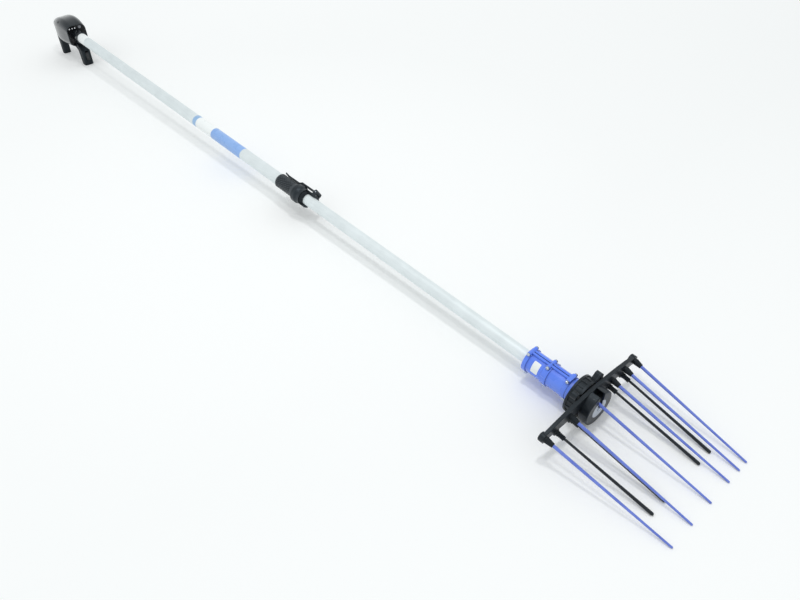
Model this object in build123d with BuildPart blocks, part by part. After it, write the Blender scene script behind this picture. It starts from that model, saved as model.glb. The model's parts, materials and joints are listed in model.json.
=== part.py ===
# Electric olive harvester: a shaking comb on a telescopic pole, with a handle and control box at the rear.
# The tool frame follows the pole: x runs forward to the comb, y to the left and z up, with the pole's
# centre line at y = z = 0 and x = 0 in the middle of the comb bar.
# The tool lies on the ground on its handle feet and its gear case, so that frame is tipped nose down.
import os
from math import acos, asin, atan2, cos, pi, radians, sin, sqrt, tan

from build123d import *

os.makedirs("parts", exist_ok=True)

# Driving dimensions, in millimetres unless the name says otherwise

# Fits and gaps
press_play = 0.02  # radial play of pieces that are pressed together
running_play = 0.05  # radial play of a shaft in its bush
slip_play = 0.15  # radial play of pieces that are pushed together by hand
sliding_play = 0.3  # radial play of the sliding tube in its clamp
moving_gap = 0.5  # gap between faces that pass one another

# Telescopic pole
inner_tube_radius = 15.0
inner_tube_wall = 1.5
tube_gap = 1.0  # radial gap between the two tubes
outer_tube_wall = 1.5
inner_reach = 798.5  # sliding tube that shows between the housing and the fixed tube
outer_reach = 1378.0  # fixed tube that shows in front of the handle
tube_overlap = 180.0  # sliding tube inside the fixed tube
tube_insert = 62.0  # fixed tube inside the handle
guide_bush_length = 40.0
guide_bush_lip = 3.0

# Lead inside the pole
coil_radius = 10.0
coil_wall = 4.0
coil_in_tube = 50.0  # from the front of the fixed tube back to the front of the coil
lead_radius = 3.5

# Comb
bar_depth = 8.0
bar_crown = 40.0  # height of the top edge in the middle
bar_wall = 3.0
bar_face = 3.0
bar_boss_radius = 25.0
upper_row_height = 15.0
lower_row_height = 0.0
outer_column = 145.5  # outermost tines, to each side
second_column = 112.0
inner_column = 68.0
lower_outer_column = 107.5
lower_inner_column = 62.0
toe_in = 16.8  # how far the outermost tips lean inward
knob_radius = 9.0  # rounded ends of the bar
knob_rim = 1.2  # how far the end knobs stand out of the bar, all round
knob_depth = 12.0
lug_radius = 8.5  # lugs that carry the lower row
edge_round = 1.2

# Tines
upper_reach = 276.0  # from the bar to the tip, along the pole
lower_reach = 216.0
upper_root_radius = 3.5
upper_tip_radius = 2.2
lower_root_radius = 2.6
lower_tip_radius = 3.5
tine_seat = 5.0  # depth of the socket behind the face of the bar
socket_wall = 2.8
socket_floor = 2.0
socket_reach = 2.5  # socket in front of the face of the bar
boot_length = 16.0
boot_wall = 2.2
boot_flange = 1.0
boot_ribs = 4
rib_valley = 0.5  # place of a rib's foot and of its crest, as shares of one rib's length
rib_peak = 0.9

# Hub in front of the bar
hub_radius = 41.0
hub_length = 20.5
hub_wall = 3.0
hub_face = 4.0
hub_rib = 2.4
hub_rib_angles = (-150, -90, -30, 30, 150)  # degrees, none under the notch
hub_edge = 2.4  # rounding of the front rim
plate_radius = 21.5
plate_thickness = 1.5
notch_gap = 1.5  # room beside the centre tine in the hub's notch
hub_bolt_radius = 3.0
hub_bolt_head_radius = 5.5
hub_bolt_head = 2.4
hub_bolt_grip = 12.0
hub_bolt_socket_radius = 2.25
hub_bolt_socket_depth = 1.8

# Crank drive in the gear case
gear_module = 0.8
pinion_teeth = 16
gear_teeth = 38
gear_width = 5.0
pressure_angle = 20.0  # degrees
addendum = 0.85  # tooth height outside the pitch circle, in modules
dedendum = 1.2  # tooth depth inside the pitch circle, in modules
backlash = 0.12
post_radius = 2.5
crank_radius = 6.0
crank_pin_radius = 3.0
crank_pin_reach = 5.5
lever_thickness = 4.0
lever_wall = 4.0
lever_gap = 2.0  # from the lever to the cover
output_shaft_radius = 6.0
bush_wall = 2.5
bush_flange = 2.5
bush_flange_thickness = 1.5

# Gear case and cover
case_rear_wall = 4.0
case_wall = 3.0
case_clearance = 1.4  # from the gear to the case
rim_height = 2.0
rim_width = 5.0
case_ribs = 20
case_rib_width = 2.6
case_rib_height = 1.75
cover_thickness = 3.5
cover_seat = 2.0
cover_gap = 3.0  # from the cover to the bar
cover_boss_wall = 3.5
ear_angle = 45.0  # degrees above the level
ear_radius = 54.0
ear_size = 8.0
ear_depth = 14.0
case_screw_radius = 2.0
case_screw_head_radius = 3.6
case_screw_head = 2.2
lower_screw_radius = 34.5
case_post_radius = 4.5

# Motor and its housing
motor_radius = 22.0
motor_length = 70.0
motor_wall = 1.5
motor_front_wall = 2.5
motor_nose_wall = 3.0
motor_nose_reach = 3.0
motor_shaft_radius = 2.5
motor_bush_wall = 3.0
motor_bush_length = 5.0
motor_cap = 6.0  # end cap at the rear of the motor
armature_radius = 15.0
armature_length = 36.0
armature_slots = 6
armature_slot = 2.6
magnet_gap = 0.8
magnet_span = 130.0  # degrees
commutator_radius = 6.5
commutator_length = 8.0
spigot_radius = 20.0  # neck of the gear case inside the housing
spigot_length = 8.0
motor_spacer = 4.0
terminal_space = 14.0
tube_seat = 27.0  # sliding tube inside the housing
housing_wall = 2.9
flange_half = 6.0  # half width of the two joined flanges
flange_height = 4.0
parting_groove = 2.2
rear_ring_height = 2.4
mid_ring_height = 2.4
front_ring_height = 1.2
block_rise = 2.5  # how far the front block stands above the flanges
front_neck = 13.0  # plain housing between the front ring and the gear case
mid_ring_width = 14.0
housing_screw_radius = 2.0
housing_screw_head_radius = 3.8
housing_screw_head = 3.0
housing_nut_radius = 4.0
housing_nut = 3.2
boss_wall = 2.6
boss_half = 12.5  # half length of the screw bosses

# Pole clamp
clamp_sleeve_length = 74.0
clamp_sleeve_wall = 2.6
sleeve_grips = 16
sleeve_grip_depth = 0.9
sleeve_collar = 9.5  # plain front end of the sleeve
clamp_body_length = 21.0  # part of the clamp on the fixed tube
clamp_nose_length = 30.0  # ring in front of the fixed tube
clamp_prong = 18.0  # far prong in front of the ring
clamp_body_wall = 8.0
clamp_nose_wall = 7.0
clamp_notch_start = 62.0  # degrees from the level on the far side
clamp_notch_end = 205.0
near_jaw_end = 325.0  # where the shorter near prong ends
jaw_collar = 13.5  # closed ring between the fixed tube and the open jaws
lever_bearing_angle = 30.0  # degrees from the level on the far side
clamp_lever_pivot = 40.0  # pivot ahead of the fixed tube
clamp_lever_length = 133.0
clamp_lever_width = 14.0
clamp_lever_thickness = 4.0
clamp_ear_thickness = 4.0
clamp_ear_radius = 6.0
clamp_ear_sink = 1.0  # foot of the ears inside the prong
lever_lift = 6.5  # pivot above the far prong
lever_pin_radius = 2.0
lever_bend = 9.0  # length of the slope from the body down to the sleeve
lever_tip = 10.0  # turned-up end of the lever
lever_tip_rise = 3.0

# Handle
handle_drop = 104.0  # from the pole's centre line to the ground under the handle's front
handle_wall = 2.8
handle_roundness = 0.62  # corner radius as a share of a section's smaller half
front_half_width = 35.5
front_top = 39.0
front_bottom = -38.0
crown_back = 62.0  # distance behind the handle's front
crown_half_width = 40.0
crown_top = 49.0
crown_bottom = -45.0
shoulder_back = 110.0
shoulder_half_width = 37.0
shoulder_top = 38.0
shoulder_bottom = -43.0
rear_back = 150.0
rear_half_width = 22.0
rear_top = 18.0
rear_bottom = -25.0
collar_length = 38.0  # collar round the tube, ahead of the panel
collar_wall = 3.8
bulkhead = 6.0
bulkhead_back = 20.0
second_bulkhead_gap = 22.0
handle_screw_radius = 1.8
handle_screw_head_radius = 3.4
handle_screw_head = 2.6
handle_screw_depth = 9.0  # from the parting face to the underside of the heads
handle_screw_grip = 10.0  # screw beyond the parting face
handle_boss_wall = 2.4
handle_boss_inset = 11.0  # screw bosses inside the top and the bottom

# Grip, rear foot and their rubber pads
grip_half_width = 16.0
grip_front = 39.0  # how far the grip stands ahead of the handle's front
grip_length = 34.0
grip_taper = 3.0
grip_root = 25.0  # foot of the grip under the body, behind the handle's front
grip_neck = 11.0  # foot of the neck's slope below the handle's front
foot_half_width = 13.0
foot_side = -14.5  # middle of the foot, to the right of the pole
foot_length = 25.0
foot_taper = 8.0
leg_round = 7.0
steep_angle = 64.0  # degrees, above which an edge of a leg counts as upright
pad_height = 15.0

# Trigger in the front of the grip
trigger_pivot_back = 12.0  # pivot behind the front of the grip
trigger_pivot_depth = 55.0  # pivot below the pole's centre line
trigger_half_width = 5.5
trigger_blade = 27.0
trigger_thickness = 9.0
trigger_proud = 5.0  # blade ahead of the grip
trigger_hollow = 1.5  # depth of the finger curve
trigger_hub_radius = 5.0
trigger_pin_radius = 1.8
trigger_gap = 0.8  # room around the trigger in its slot
trigger_travel = 10.0  # degrees
switch_half_width = 3.2
switch_height = 10.0
switch_length = 4.2

# Front panel, control board and power inlet
panel_thickness = 3.0
panel_row = 27.5  # height of the button and the lights above the pole's centre line
button_side = 15.0
button_radius = 6.5
button_proud = 1.6
button_flange = 1.4
tact_switch_radius = 3.0
tact_switch_gap = 1.8  # from the button to its switch
light_radius = 2.2
light_proud = 0.4
light_depth = 6.0
light_first = -23.0
light_step = 10.0
light_count = 3
board_thickness = 1.6
board_half_width = 22.0
board_height = 12.0
board_gap = 9.0  # from the panel to the board
board_clearance = 1.0  # from the collar to the board
board_post_radius = 2.0
inlet_bore = 8.0
inlet_wall = 3.0
inlet_depth = 16.0
inlet_floor = 2.0
inlet_flange = 4.0
inlet_flange_thickness = 2.5

# Values worked out from the driving dimensions

# Stations along the pole, from the comb to the handle
bar_rear_x = -bar_depth / 2
bar_front_x = bar_depth / 2
hub_front_x = bar_front_x + hub_length
case_front_x = bar_rear_x - cover_gap
cover_rear_x = case_front_x - cover_thickness
lever_front_x = cover_rear_x - lever_gap
lever_rear_x = lever_front_x - lever_thickness
crank_pin_front_x = lever_rear_x - moving_gap
gear_front_x = crank_pin_front_x - crank_pin_reach
gear_rear_x = gear_front_x - gear_width
case_floor_x = gear_rear_x - moving_gap
case_rear_x = case_floor_x - case_rear_wall
spigot_rear_x = case_rear_x - spigot_length
motor_front_x = spigot_rear_x - motor_spacer
motor_rear_x = motor_front_x - motor_length
tube_front_x = motor_rear_x - terminal_space
housing_rear_x = tube_front_x - tube_seat
outer_front_x = housing_rear_x - inner_reach
handle_front_x = outer_front_x - outer_reach
handle_rear_x = handle_front_x - rear_back
inlet_rear_x = handle_rear_x - inlet_flange_thickness
inner_rear_x = outer_front_x - tube_overlap
outer_rear_x = handle_front_x - tube_insert

# Radii that follow from one another
inner_tube_bore = inner_tube_radius - inner_tube_wall
outer_tube_bore = inner_tube_radius + tube_gap
outer_tube_radius = outer_tube_bore + outer_tube_wall
pinion_pitch_radius = gear_module * pinion_teeth / 2
gear_pitch_radius = gear_module * gear_teeth / 2
centre_distance = pinion_pitch_radius + gear_pitch_radius
gear_tip_radius = gear_pitch_radius + addendum * gear_module
pinion_tip_radius = pinion_pitch_radius + addendum * gear_module
case_bore = centre_distance + gear_tip_radius + case_clearance
case_radius = case_bore + case_wall
case_rim_radius = case_radius + rim_height
cover_radius = case_bore + cover_seat
housing_radius = motor_radius + slip_play + housing_wall
flange_top = housing_radius + flange_height

# The lie of the tool on the ground
lie = atan2(handle_drop - case_rim_radius, case_front_x - handle_front_x)


def ground_z(x):
    # Height of the ground in the tool frame, under station x
    return -case_rim_radius - (case_front_x - x) * tan(lie)


tool_height = -ground_z(0) * cos(lie)
tip_x = bar_front_x + upper_reach
front_edge = tip_x * cos(lie) + (ground_z(tip_x) + upper_tip_radius) * sin(lie) + upper_tip_radius
rear_edge = inlet_rear_x * cos(lie) - (inlet_bore + inlet_wall + inlet_flange) * sin(lie)
tool_x = -(front_edge + rear_edge) / 2
tool = Plane(
    origin=(tool_x, 0, tool_height),
    x_dir=(cos(lie), 0, -sin(lie)),
    z_dir=(sin(lie), 0, cos(lie)),
)
pole_axis = Axis(tool.origin, tool.x_dir)


def at_tool(x, y, z):
    # A point of the tool frame
    return tool.from_local_coords(Vector(x, y, z))


def across(x):
    # Plane square to the pole: sketch x is to the left, sketch y is up, extrusion runs forward
    return Plane(origin=at_tool(x, 0, 0), x_dir=tool.y_dir, z_dir=tool.x_dir)


def beside(y):
    # Upright plane along the pole: sketch x is forward, sketch y is up, extrusion runs to the right
    return Plane(origin=at_tool(0, y, 0), x_dir=tool.x_dir, z_dir=tool.y_dir * -1)


def keep(piece, name):
    piece.part.label = name
    export_step(piece.part, f"parts/{name}.step")


def ring(rear, front, radius, bore=0.0, mode=Mode.ADD, centres=((0, 0),)):
    # Discs or tubes along the pole, from one station to another
    with BuildSketch(across(rear)) as section:
        with Locations(*centres):
            Circle(radius)
            if bore > 0:
                Circle(bore, mode=Mode.SUBTRACT)
    extrude(section.sketch, amount=front - rear, mode=mode)


def cross_rod(y_from, y_to, radius, centres, mode=Mode.ADD):
    # Rods across the tool, at points of its upright plane
    with BuildSketch(beside(y_from)) as section:
        with Locations(*centres):
            Circle(radius)
    extrude(section.sketch, amount=y_from - y_to, mode=mode)


def polar(radius, angle):
    # Point at an angle from the left, on a circle round the pole
    return (radius * cos(radians(angle)), radius * sin(radians(angle)))


# Comb

bar_bottom = upper_row_height - knob_radius
knob_places = ((-outer_column, upper_row_height), (outer_column, upper_row_height))
# The bar's crown is an arc that runs smoothly into its round ends
crown_rise = bar_crown - upper_row_height
crown_radius = (outer_column**2 + crown_rise**2 - knob_radius**2) / (2 * (crown_rise - knob_radius))
crown_lean = asin(outer_column / (crown_radius - knob_radius))
crown_side = outer_column + knob_radius * sin(crown_lean)
crown_end = upper_row_height + knob_radius * cos(crown_lean)
upper_columns = (-outer_column, -inner_column, 0.0, inner_column, second_column, outer_column)
lower_columns = (-lower_outer_column, -lower_inner_column, lower_inner_column, lower_outer_column)


class Tine:
    # One tine: its socket in the bar, its direction and its taper
    def __init__(self, column, height, reach, root_radius, tip_radius):
        tip_column = column - toe_in * column * abs(column) / outer_column**2
        tip_station = bar_front_x + reach
        tip_height = ground_z(tip_station) + tip_radius / cos(lie)
        self.root = at_tool(bar_front_x, column, height)
        self.tip = at_tool(tip_station, tip_column, tip_height)
        self.column = column
        self.height = height
        self.root_radius = root_radius
        self.tip_radius = tip_radius
        self.length = (self.tip - self.root).length
        self.along = (self.tip - self.root).normalized()
        self.axis = Axis(self.root, self.along)
        self.side = Plane(origin=self.root, x_dir=self.along, z_dir=self.along.cross(tool.z_dir))

    def square(self, distance):
        # Plane square to the tine, at a distance from the face of the bar
        return Plane(origin=self.root + self.along * distance, x_dir=tool.y_dir, z_dir=self.along)


upper_tines = []
for column in upper_columns:
    upper_tines.append(Tine(column, upper_row_height, upper_reach, upper_root_radius, upper_tip_radius))
lower_tines = []
for column in lower_columns:
    lower_tines.append(Tine(column, lower_row_height, lower_reach, lower_root_radius, lower_tip_radius))
all_tines = upper_tines + lower_tines

with BuildPart() as comb_bar:
    with BuildSketch(across(bar_rear_x)) as bar_outline:
        with BuildLine():
            crown = ThreePointArc((-crown_side, crown_end), (0, bar_crown), (crown_side, crown_end))
            left_middle = (outer_column + knob_radius, upper_row_height)
            left_end = ThreePointArc(crown @ 1, left_middle, (outer_column, bar_bottom))
            underside = Line(left_end @ 1, (-outer_column, bar_bottom))
            ThreePointArc(underside @ 1, (-outer_column - knob_radius, upper_row_height), crown @ 0)
        make_face()
        with Locations(*[(column, lower_row_height) for column in lower_columns]):
            Circle(lug_radius)
        Circle(bar_boss_radius)
    extrude(amount=bar_depth)
    chamfer(comb_bar.faces().sort_by(pole_axis)[-1].outer_wire().edges(), length=edge_round)
    ring(bar_front_x - knob_depth, bar_front_x, knob_radius + knob_rim, centres=knob_places)
    chamfer(comb_bar.edges().group_by(pole_axis)[0], length=edge_round)
    # Moulded pockets in the back, with a rib behind each column of tines
    with BuildSketch(across(bar_rear_x)) as pockets:
        add(bar_outline.sketch_local)
        offset(amount=-bar_wall)
        Circle(bar_boss_radius, mode=Mode.SUBTRACT)
        with Locations(*knob_places):
            Circle(knob_radius + knob_rim, mode=Mode.SUBTRACT)
        with Locations(*[(tine.column, 0) for tine in all_tines]):
            Rectangle(bar_wall, 4 * bar_crown, mode=Mode.SUBTRACT)
    extrude(amount=bar_depth - bar_face, mode=Mode.SUBTRACT)
    for tine in all_tines:
        with BuildSketch(tine.square(-tine_seat - socket_floor)) as socket:
            Circle(tine.root_radius + press_play + socket_wall)
        extrude(socket.sketch, amount=tine_seat + socket_floor + socket_reach)
    for tine in all_tines:
        with BuildSketch(tine.square(-tine_seat)) as tine_hole:
            Circle(tine.root_radius + press_play)
        extrude(tine_hole.sketch, amount=tine_seat + socket_reach, mode=Mode.SUBTRACT)
    ring(bar_rear_x, bar_front_x, output_shaft_radius + press_play, mode=Mode.SUBTRACT)
keep(comb_bar, "comb_bar")


def make_tine(tine, name):
    # A tapered rod with a round tip, seated on the floor of its socket
    with BuildPart() as rod:
        with BuildSketch(tine.side) as half_profile:
            with BuildLine():
                root_end = Line((-tine_seat, 0), (-tine_seat, tine.root_radius))
                shank = Line(root_end @ 1, (socket_reach + boot_length, tine.root_radius))
                flank = Line(shank @ 1, (tine.length, tine.tip_radius))
                RadiusArc(flank @ 1, (tine.length + tine.tip_radius, 0), tine.tip_radius)
                Line((tine.length + tine.tip_radius, 0), root_end @ 0)
            make_face()
        revolve(half_profile.sketch, axis=tine.axis)
    keep(rod, name)


def boot(tine, ribs):
    # A rubber sleeve round the root of a tine: a flange on the socket, then a tapered or ribbed body
    bore = tine.root_radius + slip_play
    waist = bore + boot_wall
    body_start = socket_reach + 2 * boot_flange
    body_end = socket_reach + boot_length
    outline = [(socket_reach, bore), (socket_reach, waist + boot_flange), (body_start, waist + boot_flange)]
    for number in range(ribs):
        rib_step = (body_end - body_start) / ribs
        outline.append((body_start + (number + rib_valley) * rib_step, waist - boot_flange / 2))
        outline.append((body_start + (number + rib_peak) * rib_step, waist + boot_flange / 2))
    outline.append((body_end, waist - boot_flange))
    outline.append((body_end, bore))
    with BuildSketch(tine.side) as half_profile:
        with BuildLine():
            Polyline(*outline, close=True)
        make_face()
    revolve(half_profile.sketch, axis=tine.axis)


for number, tine in enumerate(upper_tines, 1):
    make_tine(tine, f"upper_tine_{number}")
for number, tine in enumerate(lower_tines, 1):
    make_tine(tine, f"lower_tine_{number}")

with BuildPart() as upper_boots:
    for tine in upper_tines:
        if tine.column != 0:
            boot(tine, 0)
keep(upper_boots, "upper_boots")

with BuildPart() as lower_boots:
    for tine in lower_tines:
        boot(tine, boot_ribs)
keep(lower_boots, "lower_boots")

# Hub drum in front of the bar, with a notch for the centre tine

shaft_front_x = hub_front_x - plate_thickness - hub_face / 2
notch_half = upper_root_radius + socket_wall + notch_gap
notch_floor = upper_row_height + (ground_z(tip_x) - upper_row_height) * hub_length / upper_reach
notch_floor = notch_floor - upper_root_radius - notch_gap
hub_boss_radius = output_shaft_radius + hub_wall


def cut_notch():
    # Slot from the middle of the hub up through its rim
    with BuildSketch(across(bar_front_x)) as slot:
        with Locations((0, notch_floor)):
            Rectangle(2 * notch_half, 2 * hub_radius, align=(Align.CENTER, Align.MIN))
    extrude(slot.sketch, amount=2 * hub_length, mode=Mode.SUBTRACT)


with BuildPart() as comb_hub:
    ring(bar_front_x, hub_front_x, hub_radius)
    fillet(comb_hub.edges().filter_by(GeomType.CIRCLE).sort_by(pole_axis)[-1], radius=hub_edge)
    ring(bar_front_x, hub_front_x - hub_face, hub_radius - hub_wall, mode=Mode.SUBTRACT)
    ring(bar_front_x, hub_front_x - hub_face, hub_boss_radius)
    with BuildSketch(across(bar_front_x)) as ribs:
        for angle in hub_rib_angles:
            with Locations(Plane(origin=(0, 0, 0)).rotated((0, 0, angle)).location):
                with Locations((hub_boss_radius - hub_wall / 2, 0)):
                    Rectangle(
                        hub_radius - hub_boss_radius - hub_wall / 4,
                        hub_rib,
                        align=(Align.MIN, Align.CENTER),
                    )
    extrude(amount=hub_length - hub_face)
    ring(hub_front_x - plate_thickness, hub_front_x, plate_radius + slip_play, mode=Mode.SUBTRACT)
    ring(bar_front_x, shaft_front_x, output_shaft_radius + press_play, mode=Mode.SUBTRACT)
    ring(shaft_front_x, hub_front_x, hub_bolt_radius + slip_play, mode=Mode.SUBTRACT)
    cut_notch()
keep(comb_hub, "comb_hub")

with BuildPart() as hub_plate:
    ring(hub_front_x - plate_thickness, hub_front_x, plate_radius, hub_bolt_radius + slip_play)
    cut_notch()
keep(hub_plate, "hub_plate")

with BuildPart() as hub_bolt:
    ring(hub_front_x - hub_bolt_grip, hub_front_x, hub_bolt_radius)
    ring(hub_front_x, hub_front_x + hub_bolt_head, hub_bolt_head_radius)
    fillet(hub_bolt.edges().sort_by(pole_axis)[-1], radius=hub_bolt_head / 2)
    with BuildSketch(across(hub_front_x + hub_bolt_head)) as hex_socket:
        RegularPolygon(hub_bolt_socket_radius, 6)
    extrude(amount=-hub_bolt_socket_depth, mode=Mode.SUBTRACT)
keep(hub_bolt, "hub_bolt")

# Output shaft with the slotted rocker lever that the crank swings

with BuildPart() as output_shaft:
    ring(lever_rear_x, shaft_front_x, output_shaft_radius)
    ring(
        hub_front_x - hub_bolt_grip - hub_wall,
        shaft_front_x,
        hub_bolt_radius + press_play,
        mode=Mode.SUBTRACT,
    )
keep(output_shaft, "output_shaft")

slot_inner = centre_distance - crank_radius - crank_pin_radius - moving_gap
slot_outer = centre_distance + crank_radius + crank_pin_radius + moving_gap
slot_half = crank_pin_radius + running_play

with BuildPart() as rocker_lever:
    with BuildSketch(across(lever_rear_x)) as lever_outline:
        with BuildLine():
            hub_arc = ThreePointArc(
                (-output_shaft_radius - lever_wall, 0),
                (0, output_shaft_radius + lever_wall),
                (output_shaft_radius + lever_wall, 0),
            )
            right_side = Line(hub_arc @ 1, (slot_half + lever_wall, -slot_outer + slot_half))
            tip_arc = ThreePointArc(
                right_side @ 1,
                (0, -slot_outer - lever_wall),
                (-slot_half - lever_wall, -slot_outer + slot_half),
            )
            Line(tip_arc @ 1, hub_arc @ 0)
        make_face()
        Circle(output_shaft_radius + press_play, mode=Mode.SUBTRACT)
        with Locations((0, -(slot_inner + slot_outer) / 2)):
            SlotOverall(slot_outer - slot_inner, 2 * slot_half, rotation=90, mode=Mode.SUBTRACT)
    extrude(amount=lever_thickness)
keep(rocker_lever, "rocker_lever")

thrust_washer_rear_x = case_front_x + bush_flange_thickness + moving_gap / 2
with BuildPart() as thrust_washer:
    ring(
        thrust_washer_rear_x,
        bar_rear_x,
        output_shaft_radius + bush_wall + bush_flange,
        output_shaft_radius + press_play,
    )
keep(thrust_washer, "thrust_washer")

# Gear pair


def gear_outline(teeth, first_tooth):
    # Involute teeth, each with two flanks, a tip and a root; first_tooth is the angle of one tooth
    pitch = gear_module * teeth / 2
    base = pitch * cos(radians(pressure_angle))
    tip = pitch + addendum * gear_module
    root = pitch - dedendum * gear_module
    involute_at_pitch = tan(radians(pressure_angle)) - radians(pressure_angle)
    half_tooth = (pi * gear_module / 2 - backlash / 2) / (2 * pitch)

    def half_angle(radius):
        # Half the angle that a tooth covers at a radius
        roll = acos(base / max(radius, base))
        return half_tooth + involute_at_pitch - (tan(roll) - roll)

    def point(radius, angle):
        return (radius * cos(angle), radius * sin(angle))

    step = 2 * pi / teeth
    for number in range(teeth):
        middle = radians(first_tooth) + number * step
        rise = [(radius, middle - half_angle(radius)) for radius in (root, pitch, tip)]
        fall = [(radius, middle + half_angle(radius)) for radius in (tip, pitch, root)]
        next_root = (root, middle + step - half_angle(root))
        ThreePointArc(*[point(*place) for place in rise])
        ThreePointArc(point(*rise[2]), point(tip, middle), point(*fall[0]))
        ThreePointArc(*[point(*place) for place in fall])
        ThreePointArc(point(*fall[2]), point(root, middle + step / 2), point(*next_root))


with BuildPart() as drive_pinion:
    with BuildSketch(across(gear_rear_x)):
        with BuildLine():
            gear_outline(pinion_teeth, -90)
        make_face()
        Circle(motor_shaft_radius + press_play, mode=Mode.SUBTRACT)
    extrude(amount=gear_width)
keep(drive_pinion, "drive_pinion")

post_centre = (0, -centre_distance)
crank_pin_centre = (0, -centre_distance - crank_radius)

with BuildPart() as crank_gear:
    gear_plane = across(gear_rear_x)
    gear_centre = Plane(
        origin=at_tool(gear_rear_x, 0, -centre_distance), x_dir=gear_plane.x_dir, z_dir=gear_plane.z_dir
    )
    with BuildSketch(gear_centre):
        with BuildLine():
            gear_outline(gear_teeth, 90 + 180 / gear_teeth)
        make_face()
        Circle(post_radius + running_play, mode=Mode.SUBTRACT)
        with Locations((0, -crank_radius)):
            Circle(crank_pin_radius + press_play, mode=Mode.SUBTRACT)
    extrude(amount=gear_width)
keep(crank_gear, "crank_gear")

with BuildPart() as crank_pin:
    ring(gear_rear_x, crank_pin_front_x, crank_pin_radius, centres=(crank_pin_centre,))
keep(crank_pin, "crank_pin")

with BuildPart() as gear_post:
    ring(case_rear_x, gear_front_x + moving_gap, post_radius, centres=(post_centre,))
keep(gear_post, "gear_post")

# Gear case with rims, ribs and ears, and its cover

ear_centres = (polar(ear_radius, ear_angle), polar(ear_radius, 180 - ear_angle))
post_centres = (polar(lower_screw_radius, 180 + ear_angle), polar(lower_screw_radius, -ear_angle))
screw_centres = ear_centres + post_centres
spigot_bore = pinion_tip_radius + case_clearance + slip_play


def ears(rear, front, inside_radius):
    # Two ears that stand out of the drum, with rounded ends
    with BuildSketch(across(rear)) as ear_section:
        for angle in (ear_angle, 180 - ear_angle):
            with Locations(Plane(origin=(0, 0, 0)).rotated((0, 0, angle)).location):
                with Locations((inside_radius, 0)):
                    Rectangle(ear_radius - inside_radius, 2 * ear_size, align=(Align.MIN, Align.CENTER))
                with Locations((ear_radius, 0)):
                    Circle(ear_size)
    extrude(ear_section.sketch, amount=front - rear)


with BuildPart() as gear_case:
    ring(case_rear_x, case_front_x, case_radius)
    ring(case_rear_x, case_rear_x + rim_width, case_rim_radius)
    ring(case_front_x - rim_width, case_front_x, case_rim_radius)
    with BuildSketch(across(case_rear_x)) as case_rib_section:
        with PolarLocations(case_radius, case_ribs):
            Rectangle(2 * case_rib_height, case_rib_width)
    extrude(amount=case_front_x - case_rear_x)
    ears(case_front_x - ear_depth, cover_rear_x, case_radius - case_wall / 2)
    ring(spigot_rear_x, case_rear_x, spigot_radius)
    ring(case_floor_x, cover_rear_x, case_bore, mode=Mode.SUBTRACT)
    ring(case_floor_x, cover_rear_x, case_post_radius, centres=post_centres)
    ring(cover_rear_x, case_front_x, cover_radius + slip_play, mode=Mode.SUBTRACT)
    with BuildSketch(across(cover_rear_x)) as ear_room:
        for angle in (ear_angle, 180 - ear_angle):
            with Locations(Plane(origin=(0, 0, 0)).rotated((0, 0, angle)).location):
                with Locations((case_bore, 0)):
                    Rectangle(
                        ear_radius + 2 * ear_size,
                        2 * (ear_size + slip_play),
                        align=(Align.MIN, Align.CENTER),
                    )
    extrude(amount=cover_thickness, mode=Mode.SUBTRACT)
    ring(spigot_rear_x, case_floor_x, spigot_bore, mode=Mode.SUBTRACT)
    ring(case_rear_x, case_floor_x, post_radius + press_play, mode=Mode.SUBTRACT, centres=(post_centre,))
    screw_hole = case_screw_radius + press_play
    ring(case_front_x - ear_depth, cover_rear_x, screw_hole, mode=Mode.SUBTRACT, centres=screw_centres)
keep(gear_case, "gear_case")

bush_radius = output_shaft_radius + running_play + bush_wall
bush_rear_x = cover_rear_x - lever_gap / 2

with BuildPart() as case_cover:
    ring(cover_rear_x, case_front_x, cover_radius)
    ears(cover_rear_x, case_front_x, cover_radius - cover_seat)
    ring(bush_rear_x, cover_rear_x, bush_radius + cover_boss_wall)
    ring(bush_rear_x, case_front_x, bush_radius + press_play, mode=Mode.SUBTRACT)
    ring(cover_rear_x, case_front_x, case_screw_radius + slip_play, mode=Mode.SUBTRACT, centres=screw_centres)
keep(case_cover, "case_cover")

with BuildPart() as output_bush:
    ring(bush_rear_x, case_front_x, bush_radius)
    ring(case_front_x, case_front_x + bush_flange_thickness, bush_radius + bush_flange)
    ring(
        bush_rear_x,
        case_front_x + bush_flange_thickness,
        output_shaft_radius + running_play,
        mode=Mode.SUBTRACT,
    )
keep(output_bush, "output_bush")

with BuildPart() as case_screws:
    ring(case_front_x - ear_depth + moving_gap, case_front_x, case_screw_radius, centres=screw_centres)
    ring(case_front_x, case_front_x + case_screw_head, case_screw_head_radius, centres=screw_centres)
keep(case_screws, "case_screws")

# Motor

motor_bore = motor_radius - motor_wall
motor_bush_radius = motor_shaft_radius + running_play + motor_bush_wall
nose_front_x = motor_front_x + motor_nose_reach
cap_front_x = motor_rear_x + motor_cap
armature_middle_x = (cap_front_x + commutator_length + motor_front_x - motor_front_wall) / 2
armature_rear_x = armature_middle_x - armature_length / 2

with BuildPart() as motor_can:
    ring(motor_rear_x, motor_front_x, motor_radius)
    ring(motor_front_x, nose_front_x, motor_bush_radius + motor_nose_wall)
    ring(motor_rear_x, motor_front_x - motor_front_wall, motor_bore, mode=Mode.SUBTRACT)
    ring(motor_front_x - motor_front_wall, nose_front_x, motor_bush_radius + press_play, mode=Mode.SUBTRACT)
keep(motor_can, "motor_can")

with BuildPart() as motor_end_cap:
    ring(motor_rear_x, cap_front_x, motor_bore - press_play, motor_bush_radius + press_play)
keep(motor_end_cap, "motor_end_cap")

with BuildPart() as motor_bushes:
    ring(nose_front_x - motor_bush_length, nose_front_x, motor_bush_radius, motor_shaft_radius + running_play)
    ring(motor_rear_x, motor_rear_x + motor_bush_length, motor_bush_radius, motor_shaft_radius + running_play)
keep(motor_bushes, "motor_bushes")

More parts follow.
